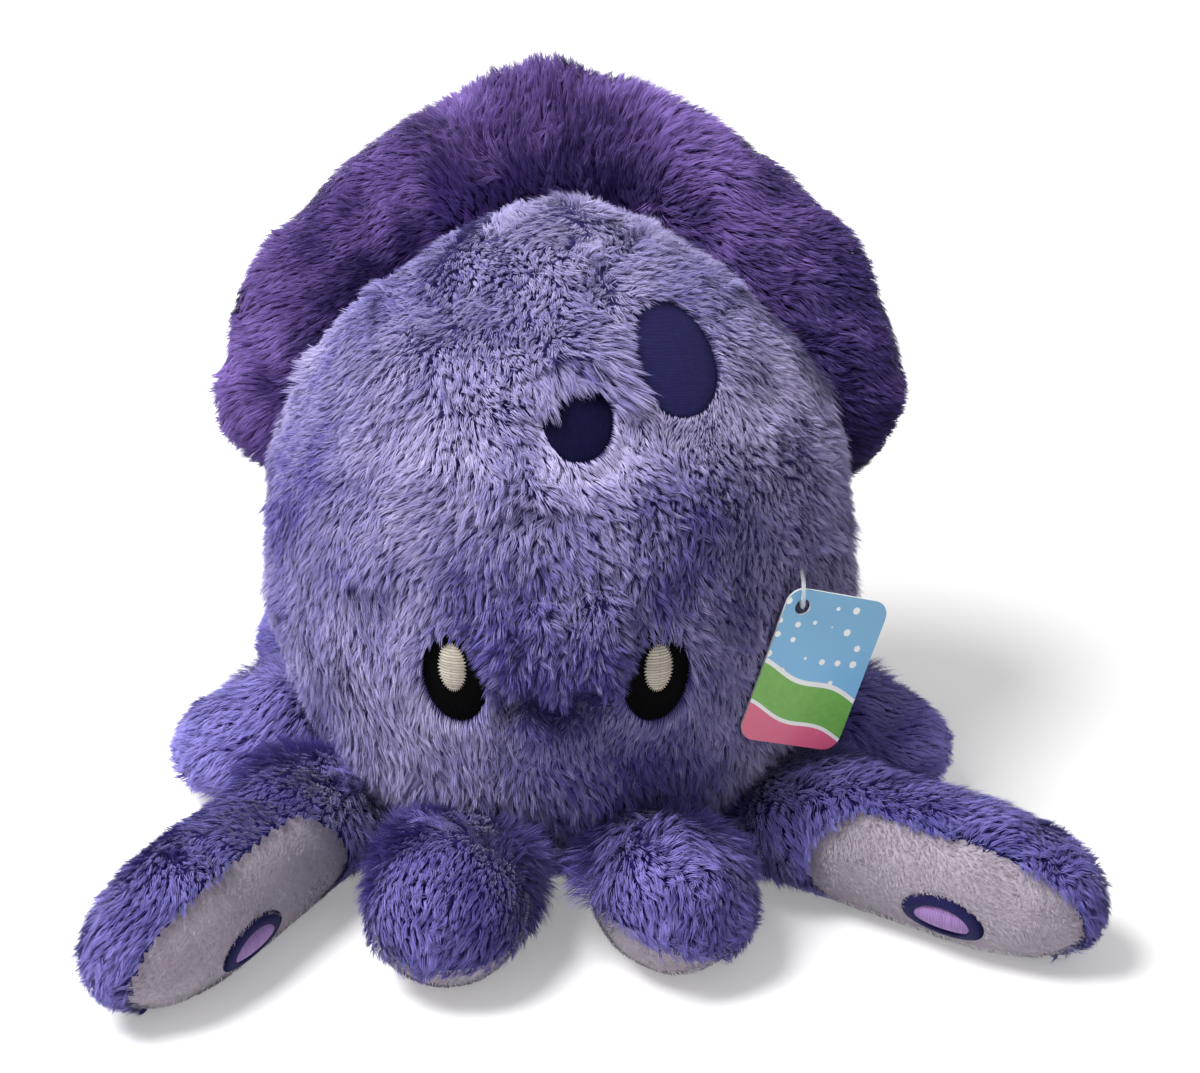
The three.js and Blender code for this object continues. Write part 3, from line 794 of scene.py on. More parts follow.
class Patch:
    """Where an embroidered patch lies: its middle, its axes and the bend of its face."""

    def __init__(self, node, inside, up, turn=0.0):
        mesh = frame["nodes"][node].data
        places = points_of(mesh)
        corners = np.array([tuple(p.vertices) for p in mesh.polygons])
        first, second, third = (places[corners[:, index]] for index in range(3))
        areas = np.cross(second - first, third - first)
        middle = (places.min(0) + places.max(0)) / 2
        outward = unit(middle - np.array(inside))
        facing = (unit(areas) @ outward) > 0.6
        self.normal = unit(areas[facing].sum(0))
        rise = unit(np.array(up) - np.dot(up, self.normal) * self.normal)
        across = np.cross(rise, self.normal)
        self.across = math.cos(turn) * across + math.sin(turn) * rise
        self.rise = math.cos(turn) * rise - math.sin(turn) * across
        outer = places[np.unique(corners[facing])]
        self.middle = middle
        flat = self.flat(outer)
        offset = (flat.min(0) + flat.max(0)) / 2
        self.middle = middle + offset[0] * self.across + offset[1] * self.rise
        flat = self.flat(outer)
        self.half = np.abs(flat[:, :2]).max(0)
        self.bend = np.linalg.lstsq(self.terms(flat), flat[:, 2], rcond=None)[0]

    @staticmethod
    def terms(flat):
        """The terms of a surface that bends both ways."""
        x, y = flat[:, 0], flat[:, 1]
        return np.stack([np.ones_like(x), x, y, x * x, x * y, y * y], axis=1)

    def flat(self, points):
        """Points across, up and out of the patch."""
        return (points - self.middle) @ np.stack([self.across, self.rise, self.normal], axis=1)

    def lie_on(self, under):
        """Takes the axes and the bend of a patch that this one lies on."""
        self.across, self.rise, self.normal = under.across, under.rise, under.normal
        x, y = under.flat(self.middle)[:2]
        self.middle = under.middle + x * under.across + y * under.rise
        level, slope_x, slope_y, bend_x, twist, bend_y = under.bend
        level += slope_x * x + slope_y * y + bend_x * x * x + twist * x * y + bend_y * y * y
        slope_x, slope_y = slope_x + 2 * bend_x * x + twist * y, slope_y + 2 * bend_y * y + twist * x
        self.bend = np.array([level, slope_x, slope_y, bend_x, twist, bend_y])

    def face(self, flat, height):
        """Places at a height over the patch's face."""
        out = self.terms(flat) @ self.bend + height
        return self.middle + flat[:, :1] * self.across + flat[:, 1:2] * self.rise + out[:, None] * self.normal

    def share(self, points):
        """How far points are out from the middle, where 1 is the patch's edge. Far behind it is outside."""
        flat = self.flat(points)
        out = np.hypot(flat[:, 0] / self.half[0], flat[:, 1] / self.half[1])
        deep, outside = 25 * MM, 9.0
        return np.where(np.abs(flat[:, 2]) < deep, out, outside)


def sewn_patch(name, patch, material, lift=0.0, inner=0.0):
    """A puffed oval of thread on a patch, with a toothed edge, or a ring with an inner oval left out."""
    sizes = settings("plush_thread")
    teeth = round(math.pi * patch.half.sum() / sizes.stitch)
    shape = bmesh.new()
    bmesh.ops.create_circle(shape, segments=4 * teeth, radius=1.0, cap_ends=True)
    rings = [0.05, 0.08, 0.15, 0.2, 0.2]
    if inner:
        rings = [(1 - inner) * width for width in (0.12, 0.2, 0.36, 0.2, 0.12)]
    for width in rings:
        middle = [max(shape.faces, key=lambda face: len(face.verts))]
        bmesh.ops.inset_region(shape, faces=middle, thickness=width, use_boundary=True, use_even_offset=True)
    middle = [max(shape.faces, key=lambda face: len(face.verts))]
    if inner:
        bmesh.ops.delete(shape, geom=middle, context="FACES")
    else:
        bmesh.ops.poke(shape, faces=middle)
    shape.verts.ensure_lookup_table()
    places = np.array([vert.co for vert in shape.verts])
    out = np.hypot(places[:, 0], places[:, 1])
    turns = np.arctan2(places[:, 1], places[:, 0]) / (2 * math.pi) * teeth
    wave = np.where(np.isclose(out, 1.0, atol=1e-3), np.abs(2 * np.mod(turns, 1.0) - 1), 0.0)
    flat = places[:, :2] * (patch.half + sizes.tooth * (wave[:, None] - 0.5))
    height = sizes.puff * (1 - out**4)
    if inner:
        band = np.clip((out - inner) / (1 - inner), 0, 1)
        height = sizes.puff * np.sqrt(np.clip(1 - (2 * band - 1) ** 2, 0, 1))
    for vert, spot in zip(shape.verts, patch.face(flat, height + lift - sizes.sink)):
        vert.co = spot
    rim = [edge for edge in shape.edges if edge.is_boundary]
    made = bmesh.ops.extrude_edge_only(shape, edges=rim)
    lowered = [item for item in made["geom"] if isinstance(item, bmesh.types.BMVert)]
    bmesh.ops.translate(shape, vec=Vector(-sizes.skirt * patch.normal), verts=lowered)
    layer = shape.loops.layers.uv.new(PRINT_MAP)
    for face in shape.faces:
        spots = patch.flat(np.array([loop.vert.co for loop in face.loops]))
        for loop, spot in zip(face.loops, spots):
            loop[layer].uv = spot[:2]
    bmesh.ops.recalc_face_normals(shape, faces=shape.faces)
    if sum(face.normal.dot(Vector(patch.normal)) for face in shape.faces) < 0:
        bmesh.ops.reverse_faces(shape, faces=shape.faces)
    return add_piece(name, mesh_of(shape, name), material)


def face_patches():
    """The patches of the face and the dome, by node."""
    thread = settings("plush_thread")
    up = (0.0, 0.0, 1.0)
    places = {name: Patch(name, WAIST, up) for name in ("eye_left", "eye_right", "spot_small")}
    places["spot_large"] = Patch("spot_large", WAIST, up, thread.spot_turn)
    for side in SIGNS:
        node = f"eye_{side}_highlight"
        patch = places[node] = Patch(node, WAIST, up)
        patch.half *= thread.highlight_share
        patch.middle += thread.highlight_raise * patch.rise
        patch.lie_on(places[f"eye_{side}"])
    return places


class Face:
    """The body's zones, laid out from its eyes and spots: how its skin is moulded and how its pile lies."""

    def __init__(self):
        patches = face_patches()
        self.eyes = {side: patches[f"eye_{side}"] for side in SIGNS}
        self.spots = [patches["spot_large"], patches["spot_small"]]
        rng = np.random.default_rng(settings("plush_pile").seed)
        self.broad, self.fine = Ripple(rng, 70 * MM), Ripple(rng, 22 * MM)
        self.drift, self.swirl = Ripple(rng, 90 * MM), Ripple(rng, 35 * MM)
        self.hills, self.ruffle = Ripple(rng, 16 * MM), Ripple(rng, 13 * MM)
        self.patchy, self.warp = Ripple(rng, 50 * MM), Ripple(rng, 38 * MM)

    @staticmethod
    def nearest(points, patches):
        """How far points are from the nearest patch's middle, where 1 is its edge."""
        return np.min([patch.share(points) for patch in patches], axis=0)

    def covered(self, points):
        """Which points lie under the embroidery."""
        return self.nearest(points, [*self.eyes.values(), *self.spots]) < 0.97

    @staticmethod
    def front(points):
        """1 on the front of the body, 0 on its back."""
        return 1 - smoothstep(-30 * MM, 20 * MM, points[:, 1])

    def brow(self, points):
        """How much of each point lies in the brow between the eyes, its fold, the fold's painted shade and
        the muzzle.
        """
        eye = self.eyes["left"].middle
        x = np.abs(points[:, 0])
        rise = points[:, 2] - eye[2] - 2 * MM - 1.8 * MM * self.ruffle(points) - 4 * MM * (x / (17 * MM)) ** 2
        across = self.front(points) * (1 - smoothstep(14 * MM, 20 * MM, x))
        brow = across * smoothstep(-0.5 * MM, 1.5 * MM, rise) * (1 - smoothstep(8 * MM, 26 * MM, rise))
        below = across * (1 - smoothstep(-1 * MM, 0.5 * MM, rise))
        fold = below * smoothstep(-20 * MM, -11 * MM, rise)
        # The fold's lower band, whose pile is toned dark: painted shade.
        crease_shade = below * smoothstep(-16 * MM, -9 * MM, rise)
        muzzle = below * smoothstep(-32 * MM, -22 * MM, rise)
        return brow, fold, crease_shade, muzzle

    def lower_rims(self, points):
        """1 close under the eyes, 0 away from them."""
        found = np.zeros(len(points))
        for patch in self.eyes.values():
            close = 1 - smoothstep(1.2, 2.2, patch.share(points))
            found = np.maximum(found, close * smoothstep(0.1, 0.6, -patch.flat(points)[:, 1] / patch.half[1]))
        return found

    def fluffed(self, points):
        """1 where the front of the body is brushed up, 0 above a ragged line and on the left."""
        low = 1 - smoothstep(126 * MM, 144 * MM, points[:, 2] + 5 * MM * self.warp(points))
        return self.front(points) * low * smoothstep(-48 * MM, -14 * MM, points[:, 0])

    def overhang(self, points):
        """1 above the spots, where the pile is left long, 0 elsewhere."""
        found = np.zeros(len(points))
        for patch in self.spots:
            flat = patch.flat(points)
            upward = flat[:, 1] / np.maximum(np.hypot(flat[:, 0], flat[:, 1]), TINY)
            found = np.maximum(found, smoothstep(0.1, 0.7, upward))
        return found

    def mould(self, points):
        """How far the skin is pushed out: the brow, the fold under it and soft lumps."""
        sizes = settings("plush_skin")
        brow, fold, _, _ = self.brow(points)
        clear = smoothstep(1.0, 1.4, self.nearest(points, [*self.eyes.values(), *self.spots]))
        return clear * (sizes.brow * brow - sizes.fold * fold + sizes.lump * self.patchy(points))

    def droop(self, points):
        """How far the lower edge of the brow hangs down over the fold."""
        brow, _, _, _ = self.brow(points)
        rise = points[:, 2] - self.eyes["left"].middle[2]
        return settings("plush_skin").droop * brow * (1 - smoothstep(4 * MM, 16 * MM, rise))

    def comb(self, points, normals):
        """The way that the pile lies: down the body, out from under the eyes and every way on top."""
        around = unit(np.stack([-points[:, 1], points[:, 0], 0 * points[:, 0]], axis=1))
        turn = 0.35 * self.drift(points) + 0.25 * self.swirl(points) + 0.2 * self.ruffle(points)
        way = around * turn[:, None]
        way[:, 2] -= 1.0
        for side, patch in self.eyes.items():
            flat = patch.flat(points)
            close = 1 - smoothstep(1.0, 2.0, patch.share(points))
            inner = smoothstep(0, 0.4, -SIGNS[side] * flat[:, 0] / patch.half[0])
            lower = smoothstep(0, 0.6, -flat[:, 1] / patch.half[1])
            way[:, 0] += 0.5 * close * inner * (1 - lower) * SIGNS[side]
            way += (close * lower)[:, None] * unit(points - patch.middle)
        top = smoothstep(168 * MM, 190 * MM, points[:, 2])
        every = np.stack([self.swirl(points), self.fine(points), self.hills(points)], axis=1)
        return way + (0.6 * top)[:, None] * every

    def dress(self, points, normals):
        """Length, lift, tone and wildness of the pile."""
        near = self.nearest(points, self.spots)
        over = self.overhang(points) * (1 - smoothstep(1.2, 2.2, self.spots[1].share(points)))
        trimmed = (1 - smoothstep(1.05, 1.75, near)) * (1 - self.overhang(points))
        # The front's right side is toned lighter and its left darker: painted light and shade.
        right = self.front(points) * smoothstep(35 * MM, 70 * MM, points[:, 0])
        left = self.front(points) * smoothstep(35 * MM, 70 * MM, -points[:, 0])
        brow, fold, crease_shade, muzzle = self.brow(points)
        rims = self.lower_rims(points)
        fluffed = self.fluffed(points)
        top = smoothstep(168 * MM, 190 * MM, points[:, 2])
        low = 1 - smoothstep(34 * MM, 60 * MM, points[:, 2])
        step = np.mod(points[:, 2] / (27 * MM) + 0.14 * self.warp(points), 1.0)
        folded = smoothstep(-0.1, 0.7, self.patchy(points)) * (1 - trimmed) * (1 - muzzle) * (1 - rims)
        brim = folded * (1 - smoothstep(0.0, 0.25, step))
        under = folded * smoothstep(0.78, 0.95, step)
        noise = {"broad": self.broad(points), "fine": self.fine(points), "hills": self.hills(points)}
        edges = {"trimmed": trimmed, "over": over, "brim": brim, "under": under, "rims": rims}
        face = {"brow": brow, "fold": fold, "crease_shade": crease_shade, "muzzle": muzzle, "fluffed": fluffed}
        sides = {"top": top, "low": low, "right": right, "left": left}
        return weigh(BODY_ZONES, **noise, **edges, **face, **sides)


def card_place(sizes):
    """Where the card hangs: its hole at the joint, its face turned and tilted."""
    turn = Matrix.Rotation(sizes.yaw, 4, "Z") @ Matrix.Rotation(sizes.tilt, 4, "Y")
    return Matrix.Translation(Vector(JOINTS["tag"]["pos_m"])) @ turn


def has_sucker(arm):
    """Whether an arm is one of the two feeding arms."""
    return f"{arm}_sucker_rim" in frame["nodes"]


def arm_way(arm):
    """The level direction from an arm's root to its tip."""
    axis = JOINTS[arm]["axis"]
    return np.array([-axis[1], axis[0], 0.0])


def pale_side(arm, points):
    """Which points of an arm have the short pale pile: the underside, without a feeding arm's cuff."""
    top, under = cad_tree(f"{arm}_top_panel"), cad_tree(f"{arm}_under_panel")
    pale = distance_to(points, under) < distance_to(points, top)
    if has_sucker(arm):
        offset = points - JOINTS[arm]["pos_m"]
        pale &= offset @ arm_way(arm) > 10 * MM + offset[:, 2] ** 2 / (25 * MM)
    return pale


# Operators


class PLUSH_OT_skins(Operator):
    """Sews and stuffs the skins of the body, the fin and the arms"""

    bl_idname = "plush.skins"
    bl_label = "Stuffed skins"

    def execute(self, context):
        colours = settings("plush_colours")
        sizes = settings("plush_skin")
        rng = np.random.default_rng(settings("plush_pile").seed + 5)
        lumps = Ripple(rng, 42 * MM)
        body = backing_finish("body backing", colours.body_deep)
        fin = backing_finish("fin backing", colours.fin_deep)
        arm = backing_finish("arm backing", colours.arm_deep)
        pale = velour_finish("underside velour", colours.pale_deep, colours.pale_light)
        skin = stuffed_skin("body_skin", ["face_panel", "back_panel", "base_panel", "body_stuffing"], body)
        face = Face()
        mould(skin, face.mould, face.droop)
        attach(skin, "body")
        skin = stuffed_skin("fin_skin", ["fin_front_panel", "fin_back_panel", "fin_stuffing"], fin)
        mould(skin, lambda points: sizes.lump * lumps(points))
        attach(skin, "fin")
        for name in ARMS:
            nodes = [f"{name}_top_panel", f"{name}_under_panel", f"{name}_stuffing"]
            skin = stuffed_skin(f"{name}_skin", nodes, arm, pale)
            middles = np.array([polygon.center for polygon in skin.data.polygons])
            skin.data.polygons.foreach_set("material_index", pale_side(name, middles).astype(np.int32))
            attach(skin, name)
        return {"FINISHED"}


class PLUSH_OT_body_pile(Operator):
    """Lays the body's pile, trimmed round the embroidery"""

    bl_idname = "plush.body_pile"
    bl_label = "Body pile"

    def execute(self, context):
        sizes = settings("plush_pile")
        colours = settings("plush_colours")
        skin = bpy.data.objects["body_skin"].data
        fin = bpy.data.objects["fin_skin"].data
        fin_tree = tree_of(fin)
        # A strip of the body under the fin's edge is bared when the fin flops, so it has short pile.
        bared, pressed = 8 * MM, 0.55
        face = Face()

        def keep(points, normals):
            hidden = within(points, fin)
            hidden[hidden] = distance_to(points[hidden], fin_tree) > bared
            low = np.flatnonzero(points[:, 2] < 70 * MM)
            for arm in ARMS:
                hidden[low] |= within(points[low], bpy.data.objects[f"{arm}_skin"].data)
            return ~(face.covered(points) | hidden | (points[:, 2] < 5 * MM))

        coat = Coat(skin, sizes.body_length, sizes.density, 1, face.comb, face.dress, keep)
        for side, patch in face.eyes.items():
            self.trim(coat, patch, np.array([-0.45 * SIGNS[side], 0.9]), 0.36)
        self.trim(coat, face.spots[0], np.array([-0.6, 0.8]), 0.22)
        self.trim(coat, face.spots[1], np.array([0.0, 1.0]), 0.65)
        self.clear_card(coat)
        coat.shorten(np.where(within(coat.roots, fin), pressed, 1.0))
        finish = pile_finish("body pile", colours.body_deep, colours.body_light)
        for front in ("front", "back"):
            for side in SIGNS:
                for height in ("upper", "lower"):
                    chosen = (coat.roots[:, 1] < 0) == (front == "front")
                    chosen &= (coat.roots[:, 0] < 0) == (side == "left")
                    chosen &= (coat.roots[:, 2] > WAIST[2]) == (height == "upper")
                    piece = coat.piece(f"body_pile_{front}_{side}_{height}", finish, chosen)
                    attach(piece, "body")
        return {"FINISHED"}

    @staticmethod
    def trim(coat, patch, side, overlap):
        """Cuts the strands that would cover a patch, but for an overlap on one side of it."""
        root = patch.flat(coat.roots)
        toward = (root[:, :2] @ unit(side)) / np.maximum(np.hypot(root[:, 0], root[:, 1]), TINY)
        allowed = 0.03 + overlap * smoothstep(0.15, 0.85, toward) * coat.rng.uniform(0.45, 1.1, len(toward))
        limit = 1 - allowed
        bad = np.flatnonzero((patch.share(coat.tips) < limit) | (patch.share(coat.mids) < limit))
        shares = np.ones(len(coat.roots))
        low, high = np.zeros(len(bad)), np.ones(len(bad))
        for _ in range(8):
            middle = (low + high) / 2
            place = coat.roots[bad] + middle[:, None] * (coat.tips[bad] - coat.roots[bad])
            clear = patch.share(place) > limit[bad]
            low, high = np.where(clear, middle, low), np.where(clear, high, middle)
        shares[bad] = np.maximum(low, SHORTEST)
        coat.shorten(shares)

    @staticmethod
    def clear_card(coat):
        """Cuts the strands that would come through the card tag."""
        sizes = settings("plush_tag")
        turned = np.array(card_place(sizes).inverted())
        roots = coat.roots @ turned[:3, :3].T + turned[:3, 3]
        tips = coat.tips @ turned[:3, :3].T + turned[:3, 3]
        gap = 0.5 * sizes.thickness + 0.6 * MM
        margin = 2 * MM
        near, wide, high = (size + margin for size in (sizes.inset, sizes.width, sizes.height))
        across = (tips[:, 0] > -near) & (tips[:, 0] < wide - sizes.inset)
        along = (tips[:, 2] < near) & (tips[:, 2] > sizes.inset - high)
        bad = across & along & (tips[:, 1] < gap) & (roots[:, 1] > tips[:, 1])
        shares = np.ones(len(roots))
        shares[bad] = np.clip((roots[bad, 1] - gap) / (roots[bad, 1] - tips[bad, 1]), SHORTEST, 1)
        coat.shorten(shares)


class PLUSH_OT_fin_pile(Operator):
    """Lays the fin's pile, combed from its apex out to its ends"""

    bl_idname = "plush.fin_pile"
    bl_label = "Fin pile"

    def execute(self, context):
        sizes = settings("plush_pile")
        colours = settings("plush_colours")
        skin = bpy.data.objects["fin_skin"].data
        body = bpy.data.objects["body_skin"].data
        rng = np.random.default_rng(sizes.seed + 1)
        broad, fine = Ripple(rng, 60 * MM), Ripple(rng, 20 * MM)
        drift, hills = Ripple(rng, 45 * MM), Ripple(rng, 15 * MM)
        body_tree = tree_of(body)

        def comb(points, normals):
            out = unit(points - WAIST)
            apex = 1 - smoothstep(15 * MM, 55 * MM, np.abs(points[:, 0]))
            way = np.stack([np.sign(points[:, 0]) * (1 - apex), 0 * apex, -0.9 * (1 - apex)], axis=1)
            way += out * (0.35 + 0.9 * apex)[:, None]
            way += 0.4 * np.stack([drift(points), fine(points), hills(points)], axis=1)
            return way

        def dress(points, normals):
            apex = 1 - smoothstep(10 * MM, 60 * MM, np.abs(points[:, 0]))
            # Next to the body the pile is toned dark: painted shade.
            inner = 1 - smoothstep(0, 24 * MM, distance_to(points, body_tree))
            rim = apex * (1 - inner)
            # The right end is toned dark, most on its front: painted shade.
            right = smoothstep(20 * MM, 90 * MM, points[:, 0])
            left = smoothstep(20 * MM, 90 * MM, -points[:, 0])
            shaded = right * smoothstep(-0.1, 0.4, -normals[:, 1])
            noise = {"broad": broad(points), "fine": fine(points), "hills": hills(points)}
            parts = {"apex": apex, "rim": rim, "inner": inner}
            return weigh(FIN_ZONES, **noise, **parts, left=left, right=right, shaded=shaded)

        def keep(points, normals):
            return ~within(points, body)

        coat = Coat(skin, sizes.fin_length, sizes.density, 2, comb, dress, keep)
        finish = pile_finish("fin pile", colours.fin_deep, colours.fin_light)
        front, back = cad_tree("fin_front_panel"), cad_tree("fin_back_panel")
        forward = distance_to(coat.roots, front) < distance_to(coat.roots, back)
        for name, facing in (("front", forward), ("back", ~forward)):
            for side in SIGNS:
                chosen = facing & ((coat.roots[:, 0] < 0) == (side == "left"))
                piece = coat.piece(f"fin_pile_{name}_{side}", finish, chosen)
                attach(piece, "fin")
        return {"FINISHED"}


class ArmPile:
    """How the pile lies on one arm."""

    def __init__(self, arm, seed):
        rng = np.random.default_rng(seed)
        self.arm = arm
        self.along = arm_way(arm)
        self.feeding = has_sucker(arm)
        # The side arms' pile is toned lighter: painted light.
        self.pale = float(arm.startswith("side"))
        self.broad, self.fine = Ripple(rng, 45 * MM), Ripple(rng, 18 * MM)
        self.drift, self.hills = Ripple(rng, 40 * MM), Ripple(rng, 14 * MM)
        self.body = bpy.data.objects["body_skin"].data

    def comb(self, points, normals):
        """Out along the arm and a little down."""
        swirl = np.stack([self.drift(points), self.fine(points), self.hills(points)], axis=1)
        return self.along + np.array([0.0, 0.0, -0.45]) + 0.35 * swirl

    def dress_top(self, points, normals):
        """Long pile, longer on the root's flanks, where it fills the corners, and cropped on the floor."""
        out = (points - JOINTS[self.arm]["pos_m"]) @ self.along
        root = 1 - smoothstep(0, 18 * MM, out)
        floor = 1 - smoothstep(6 * MM, 20 * MM, points[:, 2])
        if self.feeding:
            floor *= 1 - smoothstep(24 * MM, 40 * MM, out)
        else:
            floor *= root
        root *= 1 - floor
        flank = root * smoothstep(0.25, 0.7, np.abs(normals @ JOINTS[self.arm]["axis"]))
        tip = smoothstep(0.45, 0.85, normals @ self.along) * (1 - floor)
        zones = {"root": root, "flank": flank, "floor": floor, "tip": tip, "pale": self.pale}
        return weigh(ARM_ZONES, **zones, **self.noise(points))

    def dress_under(self, points, normals):
        """Short even pile."""
        return weigh(UNDERSIDE_ZONES, **self.noise(points))

    def noise(self, points):
        """The smooth noises that vary the pile."""
        return {"broad": self.broad(points), "fine": self.fine(points), "hills": self.hills(points)}

    def free(self, points, normals):
        """Which points neither rest on the floor nor lie in the body."""
        resting = (points[:, 2] < 4 * MM) & (normals[:, 2] < -0.7)
        return ~(resting | within(points, self.body))

    def on_top(self, points, normals):
        """Which points carry the long pile."""
        return ~pale_side(self.arm, points) & self.free(points, normals)

    def on_under(self, points, normals):
        """Which points carry the short pale pile."""
        chosen = pale_side(self.arm, points) & self.free(points, normals)
        if self.feeding:
            chosen &= sucker_patch(self.arm, "rim").share(points) > 1.03
        return chosen


def sucker_patch(arm, part):
    """The patch of a sucker's rim or centre."""
    low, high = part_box(f"{arm}_stuffing")
    return Patch(f"{arm}_sucker_{part}", (low + high) / 2, arm_way(arm))


class PLUSH_OT_arm_piles(Operator):
    """Lays the long pile on the arms' tops and the short pale pile on their undersides"""

    bl_idname = "plush.arm_piles"
    bl_label = "Arm piles"

    def execute(self, context):
        sizes = settings("plush_pile")
        colours = settings("plush_colours")
        long_finish = pile_finish("arm pile", colours.arm_deep, colours.arm_light)
        short_finish = pile_finish("underside pile", colours.pale_deep, colours.pale_light)
        for number, arm in enumerate(ARMS):
            skin = bpy.data.objects[f"{arm}_skin"].data
            pile = ArmPile(arm, sizes.seed + 10 + number)
            long_seed, short_seed = 20 + number, 40 + number
            dress, keep = pile.dress_top, pile.on_top
            coat = Coat(skin, sizes.arm_length, sizes.density, long_seed, pile.comb, dress, keep)
            piece = coat.piece(f"{arm}_pile", long_finish)
            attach(piece, arm)
            dress, keep = pile.dress_under, pile.on_under
            coat = Coat(skin, sizes.pale_length, sizes.pale_density, short_seed, pile.comb, dress, keep)
            piece = coat.piece(f"{arm}_underside_pile", short_finish)
            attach(piece, arm)
        return {"FINISHED"}


class PLUSH_OT_embroidery(Operator):
    """Sews the eyes, the spots and the suckers"""

    bl_idname = "plush.embroidery"
    bl_label = "Embroidery"

    def execute(self, context):
        thread = settings("plush_thread")
        black = thread_finish("black thread", thread.black, 3.5 * MM, thread.width, gloss=0.6, shine=0.03)
        laid = {"across": True, "gloss": 0.4}
        cream = thread_finish("cream thread", thread.cream, 30 * MM, thread.stitch, gap_shade=0.22, **laid)
        navy = thread_finish("navy thread", thread.navy, 2.8 * MM, thread.width, across=True, gloss=0.55)
        # The small spot's thread is the same navy, darkened: painted shade from the tufts that overhang it.
        shaded_navy = scaled(thread.navy, 0.42)
        upright = thread_finish("upright navy thread in painted shade", shaded_navy, 2.8 * MM, thread.width, gloss=0.6, shine=0.06)
        lilac = thread_finish("lilac thread", thread.lilac, 9 * MM, thread.width, **laid)
        for node, patch in face_patches().items():
            if node.endswith("highlight"):
                piece = sewn_patch(f"{node}_thread", patch, cream, thread.highlight_lift)
                self.place(piece, "body", node, "cream_thread")
            elif node.startswith("eye"):
                piece = sewn_patch(f"{node}_thread", patch, black)
                self.place(piece, "body", node, "black_thread")
            else:
                # The small spot gets the darkened navy thread: painted shade.
                finish = upright if node == "spot_small" else navy
                piece = sewn_patch(f"{node}_thread", patch, finish)
                self.place(piece, "body", node, "navy_thread")
        for arm in filter(has_sucker, ARMS):
            rim, centre = sucker_patch(arm, "rim"), sucker_patch(arm, "centre")
            centre.half *= thread.centre_share
            share = float(np.mean(centre.half / rim.half))
            piece = sewn_patch(f"{arm}_sucker_rim_thread", rim, navy, inner=share)
            self.place(piece, arm, f"{arm}_sucker_rim", "navy_thread")
            piece = sewn_patch(f"{arm}_sucker_centre_thread", centre, lilac)
            self.place(piece, arm, f"{arm}_sucker_centre", "lilac_thread")
        return {"FINISHED"}

    @staticmethod
    def place(piece, body, node, slot):
        """Puts a patch in its node's place."""
        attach(piece, body)
        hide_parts(node)


